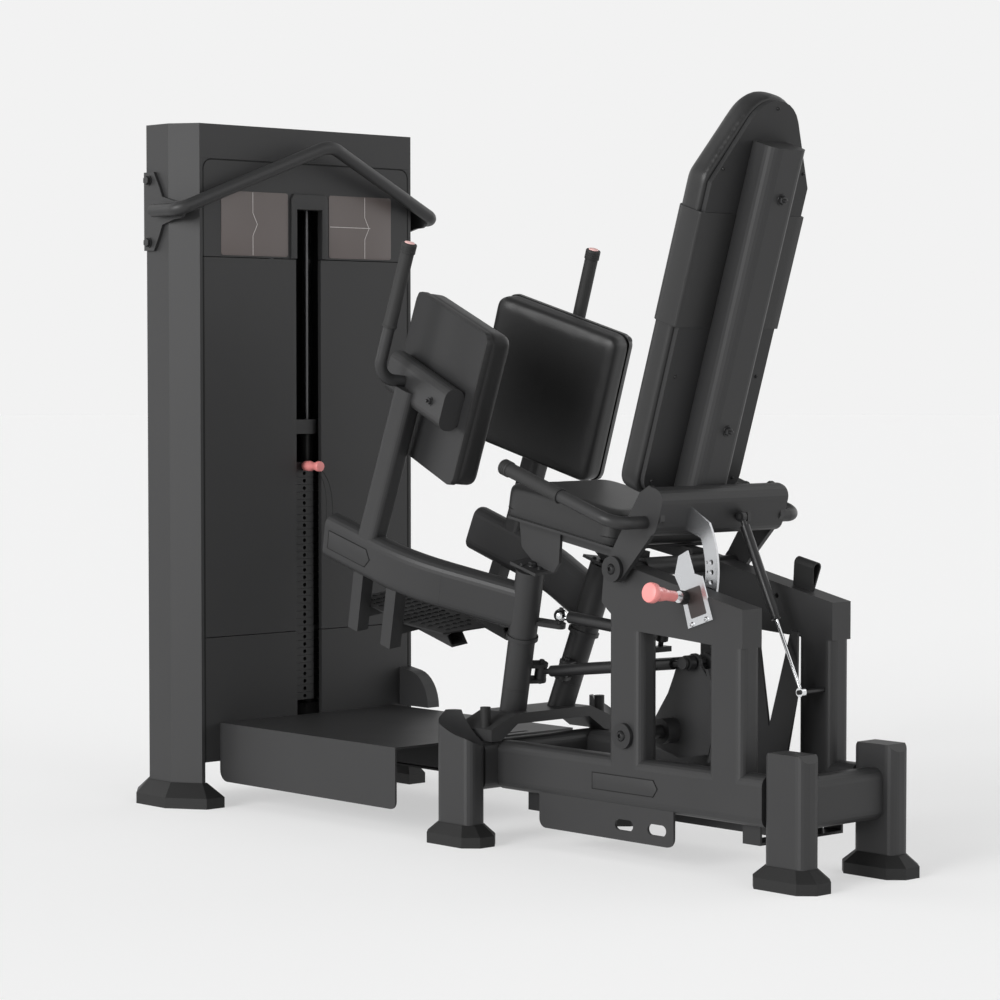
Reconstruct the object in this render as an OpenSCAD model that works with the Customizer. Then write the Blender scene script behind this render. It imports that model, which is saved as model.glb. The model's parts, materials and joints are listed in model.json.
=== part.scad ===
// Hip abductor machine: seated, twin swing arms, weight-stack tower in front of the user.
// Millimetres. +X is the user's right, +Y runs from the seat to the tower, +Z is up.
// The origin is on the floor, midway between the rear feet and the back of the tower feet.

/* [Tower] */
// Half of the tower's width over the columns
tower_half_w = 385; // [340:1:430]
// Height of the tower
tower_h = 1675; // [1500:1:1850]
// Y of the tower's front face
tower_front_y = 799; // [780:1:820]
// Depth of the tower, front face to back face
tower_depth = 206; // [185:1:240]
// Height of the wrap-around cap
cap_h = 101; // [80:1:130]
// Half of the width of the slot in front of the weights
slot_half_w = 40; // [32:1:50]
// Z of the top of the slot
slot_top_z = 1475; // [1400:1:1500]

/* [Weight stack] */
// Number of plates that stay down when the top plate is lifted
plate_count = 31; // [20:1:31]
// Height of one plate with its gap
plate_pitch = 18.8; // [16:0.1:20]
// Width of one plate
plate_w = 250; // [210:1:290]
// Diameter of the guide rods
guide_d = 20; // [16:1:25]

/* [Frame] */
// Distance from the centre plane to the middle of each rail
rail_x = 142; // [132:1:160]
// Width of the oval frame tube
tube_w = 60; // [50:1:70]
// Height of the oval frame tube
tube_h = 110; // [95:1:125]
// Z of the underside of the rails
rail_z = 122; // [100:1:140]
// Length of a side frame's post along Y
post_len = 100; // [80:1:110]
// Distance from the centre plane to the middle of each front leg
front_leg_x = 240; // [225:1:270]

/* [Arms] */
// Diameter of the fixed pivot shafts
pivot_d = 40; // [30:1:44]
// Outer diameter of the arms' sleeves
sleeve_d = 66; // [60:1:80]
// Height of the arm tube
arm_h = 110; // [90:1:125]
// Width of the arm tube
arm_w = 56; // [46:1:66]
// Sideways reach of the arm's front run from its pivot
arm_reach_x = 108; // [95:1:125]
// Forward reach of the arm from its pivot
arm_reach_y = 560; // [500:1:620]
// Length of the thigh pads, front to back
pad_len = 352; // [300:1:400]
// Height of the thigh pads
pad_h = 358; // [300:1:400]
// Thickness of the thigh pads' foam
pad_foam = 60; // [45:1:70]
// Diameter of the bent handle tubes
bar_d = 28; // [25:1:32]

/* [Seat and back] */
// Width of the seat cushion
seat_w = 330; // [290:1:380]
// Length of the seat cushion
seat_len = 372; // [340:1:390]
// Thickness of the seat cushion
seat_t = 78; // [60:1:90]
// Width of the back cushion
back_w = 325; // [290:1:350]
// Length of the back cushion
back_len = 898; // [800:1:960]
// Thickness of the back foam
back_t = 66; // [45:1:75]
// Width of the back spine
spine_w = 110; // [90:1:130]

/* [Mechanism] */
// Length of the rocker from its axle to the link pin
rocker_len = 167; // [150:1:180]
// Radius of the arms' link levers
lever_r = 56; // [50:1:62]
// Diameter of the link rods
link_d = 26; // [20:1:30]
// Radius of the belt pulleys
pulley_r = 45; // [36:1:48]

/* [Hidden] */
$fn = 48;
e = 0.01;
fit = 0.05;            // radial running clearance of a shaft in its bore
gap = 0.4;             // air between pieces that pass each other
open_gap = 2.6;        // radial air at the pivots where a closed linkage is opened

// --- tower ---
wall = 4;
chamfer_x = 45;
chamfer_y = 66;
rear_chamfer_y = 50;
tower_back_y = tower_front_y + tower_depth;
col_in_x = tower_half_w - chamfer_x - 10;
cap_z = tower_h - cap_h;
foot_h = 60;
panel_t = 12;
panel_top_z = cap_z + 17;
panel_seam_z = 1350;
panel_low_seam_z = 416;
panel_bottom_z = 110;
seam = 2;
stack_y = tower_front_y + 81;        // middle of the weight plates
nose_y = tower_front_y + 19;         // front of the plates' narrow nose
nose_half_w = 29;
plate_front_y = nose_y + 30;
plate_back_y = stack_y + 55;
stack_z = 240;
plate_t = plate_pitch - 0.6;
guide_x = 60;
rod_d = 16;
stack_top_z = stack_z + plate_count * plate_pitch;
head_z = stack_top_z + 90;
head_h = 36;
beam_top_z = 1478;
pin_z = stack_top_z + plate_pitch / 2;
pin_d = 9;
head_pulley_z = 1530;
pulley_bore = 12;
belt_w = 40;
belt_t = 4;
base_pulley_z = rail_z + pulley_r - 10;

// --- frame ---
tube_r = 22;
rail_top = rail_z + tube_h;
rear_leg_y = -957;
leg_len = 114;
rear_leg_top = 283;
front_leg_y = -41;
front_leg_top = 300;
pad_foot_h = 48;
foot_flare = 32;
front_bar_y = -61;                   // middle of the front bar
leg_z = 30;
rail_out = rail_x + tube_w / 2;
rail_in = rail_x - tube_w / 2;
front_post_y = -494;                 // middle of the front posts
rear_post_y = -794;
beam_front = [-436, 665];
beam_rear = [rear_post_y - post_len / 2, 576];
beam_tip = [-426, 569];
beam_low_front = 514;
beam_low_rear = 494;
axle_y = front_post_y - 2;           // rocker axle
axle_z = 281;
axle_d = 30;
recline_y = -489;                    // recline pivot
recline_z = 645;
cap_d = 56;
cap_t = 10;
hex_across = 24;

// --- arms, in the frame of the pivot axis ---
pivot_x = 76.7;
pivot_y = -39;
pivot_z = 291;
lean_back = 17;
splay = 6.97;
arm_z = 255;
sleeve_z0 = 187;
sleeve_z1 = 348;
bend_y = 280;
bend_a = atan(arm_reach_x / bend_y);
bend_r = 500;
bend_t = bend_r * tan(bend_a / 2);
post_d = 48;
pad_c = [-28.6, 351.8, 680.8];
pad_tilt = 8.4;
pad_turn = 15;
shell_t = 10;
bracket_h = 100;
bracket_t = 50;
bracket_y0 = -142;
bracket_y1 = 145;
bracket_zc = -11;
handle_y = 58;
handle_x = -120;
handle_r = 45;
grip_z0 = 113;
grip_z1 = 318;
grip_d = 32;
upright_y = 425;
tread_z = 118;
hanger = 34;
lever_a = -25;
lever_z = 95;
lever_t = 8;
lever_gap = 30;
link_pin_d = 12;
eye_w = 18;
damper_ball = [52, -62, 250];
damper_side = 2.5;
damper_drop = 4.7;

// --- seat and back ---
seat_tilt = 9.8;
seat_front = [-86, 748];            // lower front edge of the cushion, Y and Z
pan_t = 6;
back_lean = 17.4;
back_foot = [-600, 773];             // middle of the oval cross tube, Y and Z
back_tube_half = 200;
back_tube_h = 105;
back_tube_w = 60;
spine_t = 67;
spine_z0 = 0;
spine_z1 = 800;
shell_z0 = 10;
shell_w = 300;
shell_th = 12;
lever_plate_t = 12;
lever_x = 190;
hip_x = 293;
hip_z = 750;
hip_y = -585;
hip_rise = 18.2;
hip_grip_len = 195;
hip_run = 326;                       // straight run of the hip handle

// --- linkage ---
rocker_lean = 22.5;
rocker_pin = [axle_y - rocker_len * sin(rocker_lean), axle_z + rocker_len * cos(rocker_lean)];
rocker_half = 21.5;
rocker_plate = 8;
link_x = rocker_half + 6.5 + eye_w / 2;
damper_rear = [-60, -501, 492];
strut_x = 40;
strut_top = [-645, 756];
strut_low = [-820, 386];
strut_len = norm(strut_top - strut_low);
strut_a = atan2(strut_top[0] - strut_low[0], strut_top[1] - strut_low[1]);

// --- lanyard: a thin cord that hangs from the selector knob to its ring and back ---
lanyard_d = 2;
lanyard_path = [
    [-1, 757, 820.6], [1, 755, 811], [6, 752, 798], [11, 750, 780], [14, 748, 750], [14, 748, 710],
    [14, 748, 670], [14, 748, 640], [16, 748, 628], [20, 748, 622], [25, 748, 620], [30, 748, 622],
    [34, 748, 628], [36, 748, 640], [36, 748, 670], [35, 748, 710], [33, 748, 750], [28, 750, 780],
    [21, 752, 800], [14, 755, 813], [6.5, 757, 822.6]
];

paint = [0.23, 0.23, 0.24];
dark = [0.12, 0.12, 0.13];
rubber = [0.08, 0.08, 0.08];
hide = [0.20, 0.20, 0.21];
steel = [0.75, 0.76, 0.78];
salmon = [0.88, 0.50, 0.51];

// ---------- outlines and small shapes ----------

// corner points of a rounded rectangle centred on the origin
function round_rect(w, h, r, n = 5) = [
    for (q = [0:3], i = [0:n])
        let (a = 90 * q + 90 * i / n, sx = (q == 0 || q == 3) ? 1 : -1, sy = q < 2 ? 1 : -1)
            [sx * (w / 2 - r) + r * cos(a), sy * (h / 2 - r) + r * sin(a)]
];

// oval tube along Y, its section centred on x and z
module bar_y(x, y0, y1, z, w, h, r) {
    translate([x, y1, z]) rotate([90, 0, 0]) linear_extrude(y1 - y0) polygon(round_rect(w, h, r));
}

// upright tube with a rounded section
module bar_z(x, y, z0, z1, w, l, r) {
    translate([x, y, z0]) linear_extrude(z1 - z0) polygon(round_rect(w, l, r));
}

// solid rod along X
module rod_x(x0, x1, y, z, d) {
    translate([x0, y, z]) rotate([0, 90, 0]) cylinder(h = x1 - x0, d = d);
}

// outline of the Y-Z plane extruded along X
module sheet_x(x0, x1, pts) {
    translate([x0, 0, 0]) rotate([90, 0, 90]) linear_extrude(x1 - x0) polygon(pts);
}

// outline of the X-Z plane extruded along Y
module sheet_y(y0, y1, pts) {
    translate([0, y1, 0]) rotate([90, 0, 0]) linear_extrude(y1 - y0) polygon(pts);
}

// both hands of a shape drawn on the user's left
module both() {
    children();
    mirror([1, 0, 0]) children();
}

// left or right hand of a shape drawn on the user's left
module hand(side) {
    mirror([side > 0 ? 1 : 0, 0, 0]) children();
}

// frame of the left arm's pivot axis, Z along the axis
module arm_frame() {
    translate([-pivot_x, pivot_y, pivot_z]) rotate([lean_back, -splay, 0]) children();
}

// frame of the left pad: X towards the user, Y forward, Z up, on the shell's outer face
module pad_frame() {
    arm_frame() translate(pad_c) rotate([0, pad_tilt, -pad_turn]) children();
}

// frame of the backrest: Y forward from the spine's back face, Z up along the spine
module back_plane() {
    translate([0, back_foot[0], back_foot[1]]) rotate([back_lean, 0, 0]) children();
}

// frame of the seat: Y forward, Z up, origin at the cushion's lower front edge
module seat_plane() {
    translate([0, seat_front[0], seat_front[1]]) rotate([seat_tilt, 0, 0]) children();
}

// button-head cap with a hexagon socket, seated on a face at x, pointing to -X
module axle_cap(x, y, z) {
    difference() {
        rod_x(x - cap_t, x, y, z, cap_d);
        translate([x - cap_t - e, y, z]) rotate([0, 90, 0]) cylinder(h = 6, d = hex_across);
    }
}

// hexagon bolt head on its washer, standing on z = 0
module hex_head(d) {
    cylinder(h = d * 0.2, d = d * 2.1);
    translate([0, 0, d * 0.2 - e]) cylinder(h = d * 0.65, d = d * 1.75, $fn = 6);
}

// ---------- tower ----------

// outline of the left column, drawn in by d
function column(d) = [
    [-tower_half_w + d, tower_front_y + chamfer_y + 0.5 * d],
    [-tower_half_w + chamfer_x + 0.5 * d, tower_front_y + d],
    [-col_in_x - d, tower_front_y + d],
    [-col_in_x - d, tower_back_y - d],
    [-tower_half_w + chamfer_x + 0.5 * d, tower_back_y - d],
    [-tower_half_w + d, tower_back_y - rear_chamfer_y - 0.5 * d]
];

// outline of the whole tower, drawn in by d
function tower_outline(d) = concat(
    [for (i = [5, 0, 1]) column(d)[i]],
    [for (i = [1, 0, 5]) [-column(d)[i][0], column(d)[i][1]]],
    [[-column(d)[4][0], column(d)[4][1]], column(d)[4]]
);

module tower_frame() {
    color(paint) {
        both() translate([0, 0, foot_h]) linear_extrude(cap_z - foot_h) difference() {
            polygon(column(0));
            polygon(column(wall));
        }
        // beams that carry the guide rods
        difference() {
            for (z = [stack_z - 54 - gap, beam_top_z], s = [-1, 1])
                translate([s > 0 ? belt_w / 2 + 5 : -col_in_x, stack_y - 35, z])
                    cube([col_in_x - belt_w / 2 - 5, 70, 40]);
            for (s = [-1, 1]) translate([s * guide_x, stack_y, 0])
                cylinder(h = tower_h, d = guide_d + 2 * fit);
        }
        // ears of the two pulleys
        for (z = [head_pulley_z, base_pulley_z], s = [-1, 1]) difference() {
            translate([s * (belt_w / 2 + 9) - 4, stack_y + 24, z - 26])
                cube([8, pulley_r + 1, z == head_pulley_z ? 60 : 96]);
            rod_x(-80, 80, stack_y + pulley_r, z, pulley_bore + 2 * fit);
        }
    }
}

module tower_cap() {
    color(paint) translate([0, 0, cap_z]) difference() {
        linear_extrude(cap_h) polygon(tower_outline(0));
        translate([0, 0, -e]) linear_extrude(cap_h - 6) polygon(tower_outline(wall + 1));
        // relief above the recessed front panel
        translate([-col_in_x, tower_front_y - 1, -e])
            cube([2 * col_in_x, panel_t + 1, panel_top_z - cap_z]);
    }
}

module upper_panel() {
    w = col_in_x - gap;
    color(paint) difference() {
        translate([-w, tower_front_y, panel_seam_z + seam])
            cube([2 * w, panel_t, panel_top_z - panel_seam_z - seam - gap]);
        translate([-slot_half_w, tower_front_y - 1, 0]) cube([2 * slot_half_w, panel_t + 2, slot_top_z]);
    }
}

module front_panels() {
    w = col_in_x - gap - slot_half_w;
    color(paint) for (z = [[panel_low_seam_z + seam, panel_seam_z], [panel_bottom_z, panel_low_seam_z]])
        both() translate([-slot_half_w - w, tower_front_y, z[0]]) cube([w, panel_t, z[1] - z[0]]);
}

module rear_panel() {
    w = col_in_x - gap;
    color(paint) translate([-w, tower_back_y - panel_t, panel_bottom_z])
        cube([2 * w, panel_t, cap_z - panel_bottom_z - gap]);
}

module guide_rods() {
    z0 = stack_z - 54 - gap;
    color(steel) for (s = [-1, 1]) translate([s * guide_x, stack_y, z0])
        cylinder(h = beam_top_z + 40 - z0, d = guide_d);
}

// plan of one weight plate: a wide body with a narrow nose towards the slot
plate_plan = [
    [-plate_w / 2, plate_front_y], [-nose_half_w, plate_front_y], [-nose_half_w, nose_y],
    [nose_half_w, nose_y], [nose_half_w, plate_front_y], [plate_w / 2, plate_front_y],
    [plate_w / 2, plate_back_y], [-plate_w / 2, plate_back_y]
];

module weight_plate(z) {
    difference() {
        translate([0, 0, z]) linear_extrude(plate_t) polygon(plate_plan);
        for (s = [-1, 1]) translate([s * guide_x, stack_y, z - 1]) cylinder(h = plate_pitch + 2, d = guide_d + 2 * gap);
        translate([0, stack_y, z - 1]) cylinder(h = plate_pitch + 2, d = rod_d + 2 * gap);
        translate([0, nose_y - 1, z + plate_t / 2]) rotate([-90, 0, 0])
            cylinder(h = stack_y - nose_y, d = pin_d + 2 * gap);
    }
}

module weight_plates() {
    color(dark) for (i = [0:plate_count - 1]) weight_plate(stack_z + i * plate_pitch);
}

// ---------- weight that is lifted ----------

module stack_head() {
    color(dark) {
        weight_plate(stack_top_z);
        difference() {
            union() {
                translate([-plate_w / 2, plate_front_y, head_z]) cube([plate_w, plate_back_y - plate_front_y, head_h]);
                translate([-nose_half_w - 8, nose_y, head_z]) cube([2 * nose_half_w + 16, 31, head_h]);
                for (s = [-1, 1]) translate([s * guide_x, stack_y, stack_top_z + plate_t])
                    cylinder(h = head_z - stack_top_z - plate_t + e, d = guide_d + 16);
            }
            for (s = [-1, 1]) translate([s * guide_x, stack_y, stack_top_z])
                cylinder(h = 200, d = guide_d + 2 * gap);
            translate([0, stack_y, stack_top_z]) cylinder(h = 200, d = rod_d + 2 * gap);
        }
    }
}

module selector_rod() {
    z0 = stack_z + 4;
    color(steel) difference() {
        translate([0, stack_y, z0]) cylinder(h = head_z + head_h + 12 - z0, d = rod_d);
        for (i = [0:plate_count]) translate([0, stack_y - rod_d, stack_z + i * plate_pitch + plate_t / 2])
            rotate([-90, 0, 0]) cylinder(h = 2 * rod_d, d = pin_d + 2 * gap);
    }
    // collar that hangs the rod on the head
    color(steel) translate([0, stack_y, head_z + head_h]) difference() {
        cylinder(h = 8, d = rod_d + 16);
        translate([0, 0, -1]) cylinder(h = 10, d = rod_d + 2 * fit);
    }
}

module stack_belt() {
    z0 = head_z + head_h + 12 + gap;
    color(rubber) translate([-belt_w / 2, stack_y - belt_t / 2, z0])
        cube([belt_w, belt_t, head_pulley_z - z0]);
}

module selector_pin() {
    color(steel) {
        translate([0, nose_y - 34, pin_z - 0.3]) rotate([-90, 0, 0]) cylinder(h = stack_y + 6 - nose_y + 34, d = pin_d);
        // lanyard ring, hanging on the cord below the knob
        translate([25, 748, 612.9]) rotate([90, 0, 90]) rotate_extrude() translate([10, 0]) circle(d = 3, $fn = 16);
    }
}

// waisted grip of the selector pin, turned about its own length
module selector_knob() {
    r = 11;
    l = 58;
    color(salmon) translate([0, nose_y - 8 - l, pin_z - 0.3]) rotate([-90, 0, 0]) difference() {
        rotate_extrude() polygon([
            [0, 0], [r - 2, 0], [r, 2], [r, 8], for (i = [0:6]) [r - 3 * sin(30 * i), 12 + 28 * i / 6],
            [r, 44], [r - 2, l], [0, l]
        ]);
        translate([0, 0, l - 26]) cylinder(h = 30, d = pin_d + 2 * fit);
    }
}

// tube of a few sides swept along points
function tangent(p, i) = let (d = p[min(i + 1, len(p) - 1)] - p[max(i - 1, 0)]) d / norm(d);
function blend3(a, b, c, d, t) = 0.5 * ((2 * b) + (c - a) * t + (2 * a - 5 * b + 4 * c - d) * t * t
    + (3 * b - a - 3 * c + d) * t * t * t);
function smooth_path(p, n) = let (m = len(p) - 1) [
    for (i = [0:m - 1], j = [0:n - 1])
        blend3(p[max(i - 1, 0)], p[i], p[i + 1], p[min(i + 2, m)], j / n),
    p[m]
];
function ring(c, t, side, r, n) = let (u = cross(t, side) / norm(cross(t, side)), v = cross(t, u))
    [for (k = [0:n - 1]) c + r * (cos(360 * k / n) * u + sin(360 * k / n) * v)];

module swept_tube(path, d, n, side) {
    m = len(path);
    pts = [for (i = [0:m - 1]) each ring(path[i], tangent(path, i), side, d / 2, n)];
    sides = [for (i = [0:m - 2], k = [0:n - 1])
        [i * n + k, i * n + (k + 1) % n, (i + 1) * n + (k + 1) % n, (i + 1) * n + k]];
    ends = [[for (k = [n - 1:-1:0]) k], [for (k = [0:n - 1]) (m - 1) * n + k]];
    polyhedron(points = pts, faces = concat([for (f = sides) [f[3], f[2], f[1], f[0]]],
        [for (f = ends) [for (k = [len(f) - 1:-1:0]) f[k]]]), convexity = 6);
}

module pin_lanyard() {
    color(rubber) swept_tube(smooth_path(lanyard_path, 4), lanyard_d, 8, [0, 1, 0]);
}

// ---------- pulleys and belt ----------

module pulley(z) {
    color(dark) translate([0, stack_y + pulley_r, z]) rotate([0, 90, 0]) difference() {
        union() {
            translate([0, 0, -belt_w / 2 - 1]) cylinder(h = belt_w + 2, r = pulley_r - belt_t - gap);
            for (s = [-1, 1]) translate([0, 0, s * (belt_w / 2 + 2) - 1]) cylinder(h = 2, r = pulley_r - gap);
            translate([0, 0, -belt_w / 2 - 12.5]) cylinder(h = belt_w + 25, d = pulley_bore);
        }
        for (a = [0:60:300]) rotate(a) translate([pulley_r * 0.55, 0, -belt_w])
            cylinder(h = 2 * belt_w, r = pulley_r * 0.16);
    }
}

module head_pulley() { pulley(head_pulley_z); }

module base_pulley() { pulley(base_pulley_z); }

// fixed run of the belt: over the head pulley, down the back and forward under the frame
module drive_belt() {
    yc = stack_y + pulley_r;
    zl = base_pulley_z - pulley_r;
    color(rubber) {
        difference() {
            translate([-belt_w / 2, yc, head_pulley_z]) rotate([0, 90, 0])
                cylinder(h = belt_w, r = pulley_r);
            translate([-belt_w, yc, head_pulley_z]) rotate([0, 90, 0])
                cylinder(h = 2 * belt_w, r = pulley_r - belt_t);
            translate([-belt_w, yc - 100, head_pulley_z - 100]) cube([2 * belt_w, 200, 100]);
        }
        translate([-belt_w / 2, yc + pulley_r - belt_t, base_pulley_z])
            cube([belt_w, belt_t, head_pulley_z - base_pulley_z]);
        difference() {
            translate([-belt_w / 2, yc, base_pulley_z]) rotate([0, 90, 0]) cylinder(h = belt_w, r = pulley_r);
            translate([-belt_w, yc, base_pulley_z]) rotate([0, 90, 0])
                cylinder(h = 2 * belt_w, r = pulley_r - belt_t);
            translate([-belt_w, yc - 100, base_pulley_z]) cube([2 * belt_w, 200, 100]);
            translate([-belt_w, yc - 100, base_pulley_z - 100]) cube([2 * belt_w, 100, 200]);
        }
        translate([-belt_w / 2, axle_y, zl]) cube([belt_w, yc - axle_y, belt_t]);
    }
}

// ---------- pull-up bar, guard and platform ----------

module pull_bar() {
    d = 32;
    z = 1463;
    x = tower_half_w + 8 + d / 2;
    y = 786;
    apex_y = 712;
    apex_z = 1632;
    len1 = norm([x, y - apex_y, apex_z - z]);
    slope = [x, apex_y - y, apex_z - z] / len1;
    bar_r = 34;
    top_r = 70;
    bar_t = bar_r * tan(acos(-slope[1]) / 2);
    top_t = top_r * tan(acos(slope * [slope[0], -slope[1], -slope[2]]) / 2);
    color(paint) {
        both() {
            // ear plate on the column
            sheet_x(-tower_half_w - 8, -tower_half_w, [
                [955, z + 96], [915, z + 96], [893, z + 60], [880, z + 34], [830, z + 22], for (a = [70:-20:-70])
                [806 - 22 * cos(a) + 8, z + 22 * sin(a)], [830, z - 22], [880, z - 34], [893, z - 60],
                [915, z - 96], [955, z - 96]
            ]);
            // short run back to the ear plate, bend and slope up to the middle
            translate([-x, y, z]) rotate([-90, 0, 0]) translate([0, 0, bar_t - 2]) cylinder(h = 112 - bar_t, d = d);
            elbow([-x, y, z], [0, -1, 0], slope, bar_r, d);
            translate([-x, y, z]) multmatrix(look_along(slope)) translate([0, 0, bar_t - 2])
                cylinder(h = len1 - bar_t - top_t + 4, d = d);
        }
        elbow([0, apex_y, apex_z], slope, [slope[0], -slope[1], -slope[2]], top_r, d);
    }
}

// bend of a round tube at corner p, from direction a to direction b, a hair thicker than its legs
module elbow(p, a, b, r, d) {
    turn = acos(a * b);
    n = (b - (a * b) * a) / norm(b - (a * b) * a);
    w = cross(a, n) * -1;
    c = p - r * tan(turn / 2) * a + r * n;
    multmatrix([[-n[0], a[0], -w[0], c[0]], [-n[1], a[1], -w[1], c[1]], [-n[2], a[2], -w[2], c[2]], [0, 0, 0, 1]])
        rotate_extrude(angle = turn) translate([r, 0]) circle(d = d + 0.4);
}

// matrix whose third column is the direction t
function look_along(t) = let (s = abs(t[2]) > 0.9 ? [0, 1, 0] : [0, 0, 1], u = cross(s, t) / norm(cross(s, t)),
    v = cross(t, u)) [[u[0], v[0], t[0], 0], [u[1], v[1], t[1], 0], [u[2], v[2], t[2], 0], [0, 0, 0, 1]];

platform_x = 285;
platform_y0 = 136;
platform_z = 205;
platform_t = 5;

module side_guard() {
    r = 92;
    color(paint) difference() {
        sheet_x(300, 338, concat([[tower_front_y - gap, platform_z + gap], [tower_front_y - gap, platform_z + 98]],
            [for (a = [80:-10:0]) [tower_front_y - 30 - (r - 10) * cos(a), platform_z + gap + r * sin(a)]]));
    }
}

module platform() {
    y1 = tower_front_y - gap;
    color(paint) difference() {
        union() {
            translate([-platform_x, platform_y0, platform_z - platform_t])
                cube([2 * platform_x, y1 - platform_y0, platform_t]);
            both() sheet_x(-platform_x, -platform_x + platform_t, concat(
                [[y1, platform_z], [platform_y0, platform_z]],
                [for (a = [180:15:270]) [platform_y0 + 18 + 18 * cos(a), 79 + 18 * sin(a)]],
                [for (a = [270:15:360]) [y1 - 28 + 28 * cos(a), 89 + 28 * sin(a)]]));
        }
        // hand slot near the user's edge
        translate([-60, platform_y0 + 22, 0]) cube([220, 14, tower_h]);
    }
}

// ---------- base frame ----------

// plan of a foot that flares out from its tube, drawn out by d
module flared_foot(x, y, w, l, r) {
    hull() {
        translate([x, y, 0]) linear_extrude(leg_z - 6) polygon(chamfer_rect(w + 2 * foot_flare - 20, l + 2 * foot_flare, 30));
        translate([x, y, pad_foot_h - 1]) linear_extrude(1) polygon(chamfer_rect(w + 6, l + 6, 20));
    }
}

function chamfer_rect(w, l, c) = [
    [-w / 2 + c, -l / 2], [w / 2 - c, -l / 2], [w / 2, -l / 2 + c], [w / 2, l / 2 - c],
    [w / 2 - c, l / 2], [-w / 2 + c, l / 2], [-w / 2, l / 2 - c], [-w / 2, -l / 2 + c]
];

// plan of the left tower foot on the floor
tower_foot_plan = [
    [-tower_half_w - 30, tower_front_y + chamfer_y - 15], [-tower_half_w + chamfer_x - 15, tower_front_y - 38],
    [-col_in_x + 30, tower_front_y - 38], [-col_in_x + 30, tower_back_y + 41],
    [-tower_half_w + chamfer_x - 15, tower_back_y + 41], [-tower_half_w - 30, tower_back_y - rear_chamfer_y + 15]
];

module foot_pads() {
    color(dark) both() {
        difference() {
            flared_foot(-rail_x, rear_leg_y, tube_w, leg_len, 30);
            bar_z(-rail_x, rear_leg_y, leg_z, 100, tube_w, leg_len, tube_r);
        }
        difference() {
            flared_foot(-front_leg_x, front_leg_y, tube_w, leg_len, 30);
            bar_z(-front_leg_x, front_leg_y, leg_z, 100, tube_w, leg_len, tube_r);
        }
        hull() {
            linear_extrude(26) polygon(tower_foot_plan);
            translate([0, 0, foot_h - 1]) linear_extrude(1) polygon(column(-3));
        }
    }
}

module frame_rails() {
    color(paint) both() bar_y(-rail_x, rear_leg_y + leg_len / 2, front_bar_y - tube_w / 2, rail_z + tube_h / 2,
        tube_w, tube_h, tube_r);
}

module frame_legs() {
    scoop_r = 70;
    color(paint) both() {
        // rear leg with a bevelled cap
        difference() {
            bar_z(-rail_x, rear_leg_y, leg_z, rear_leg_top, tube_w, leg_len, tube_r);
            for (s = [-1, 1]) translate([-rail_x, rear_leg_y + s * leg_len / 2, rear_leg_top]) rotate([45, 0, 0])
                cube([tube_w + 2, 22, 22], center = true);
        }
        // front leg with a scooped top
        difference() {
            bar_z(-front_leg_x, front_leg_y, leg_z, front_leg_top, tube_w, leg_len, tube_r);
            translate([-front_leg_x, front_leg_y - 40, front_leg_top + 10]) rotate([0, 0, 35]) rotate([-68, 0, 0])
                cylinder(h = 400, r = scoop_r, center = true);
        }
    }
}

module crossbars() {
    beam_y0 = front_bar_y + tube_w / 2;
    beam_h = platform_z - platform_t - gap - rail_z - 8;
    color(paint) {
        // front bar between the front legs, rear bar between the rear legs
        for (b = [[front_leg_x - tube_w / 2, front_bar_y], [rail_in, rear_leg_y]])
            translate([-b[0], b[1], rail_z + tube_h / 2]) rotate([90, 0, 90]) linear_extrude(2 * b[0])
                polygon(round_rect(tube_w, tube_h, tube_r));
        // low beam from the front bar to the tower, under the platform
        translate([-70, beam_y0 - 2, rail_z + 8]) difference() {
            cube([140, tower_front_y - gap - beam_y0 + 2, beam_h]);
            translate([6, 20, 6]) cube([128, 2000, beam_h - 12]);
        }
    }
}

bridge_top = pivot_z;
bridge_y0 = -96;
bridge_y1 = 24;

bridge_t = 24;
bridge_x1 = 120;
bridge_x2 = 196;

module bridge_shape() {
    sheet_y(bridge_y0, bridge_y1, [
        [-bridge_x2, rail_top], [-bridge_x2, bridge_top - 32], [-bridge_x1, bridge_top],
        [bridge_x1, bridge_top], [bridge_x2, bridge_top - 32], [bridge_x2, rail_top],
        [bridge_x2 - 30, rail_top], [bridge_x1 - 6, bridge_top - bridge_t],
        [-bridge_x1 + 6, bridge_top - bridge_t], [-bridge_x2 + 30, rail_top]
    ]);
}

module pivot_bridge() {
    color(paint) bridge_shape();
}

module pivot_shafts() {
    color(paint) both() difference() {
        arm_frame() {
            translate([0, 0, -30]) cylinder(h = 210, d = post_d);
            translate([0, 0, -30]) cylinder(h = lever_z - 34 - gap + 30, d = sleeve_d - 4);
            cylinder(h = sleeve_z1 + 4, d = pivot_d);
        }
        translate([-300, -300, bridge_top - 200]) cube([600, 600, 200]);
    }
}

module rubber_stops() {
    color(rubber) {
        // bumpers that stop the arms when they come in
        difference() {
            both() translate([-182, -60, rail_top + 10]) cylinder(h = 66, d = 24);
            bridge_shape();
            translate([-bridge_x2, bridge_y0, 0]) cube([2 * bridge_x2, 300, bridge_top - 36]);
        }
        // rings under the weight plates
        for (s = [-1, 1]) translate([s * guide_x, stack_y, stack_z - gap - 14]) difference() {
            cylinder(h = 14, d = guide_d + 24);
            translate([0, 0, -1]) cylinder(h = 16, d = guide_d + 2 * fit);
        }
    }
}

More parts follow.
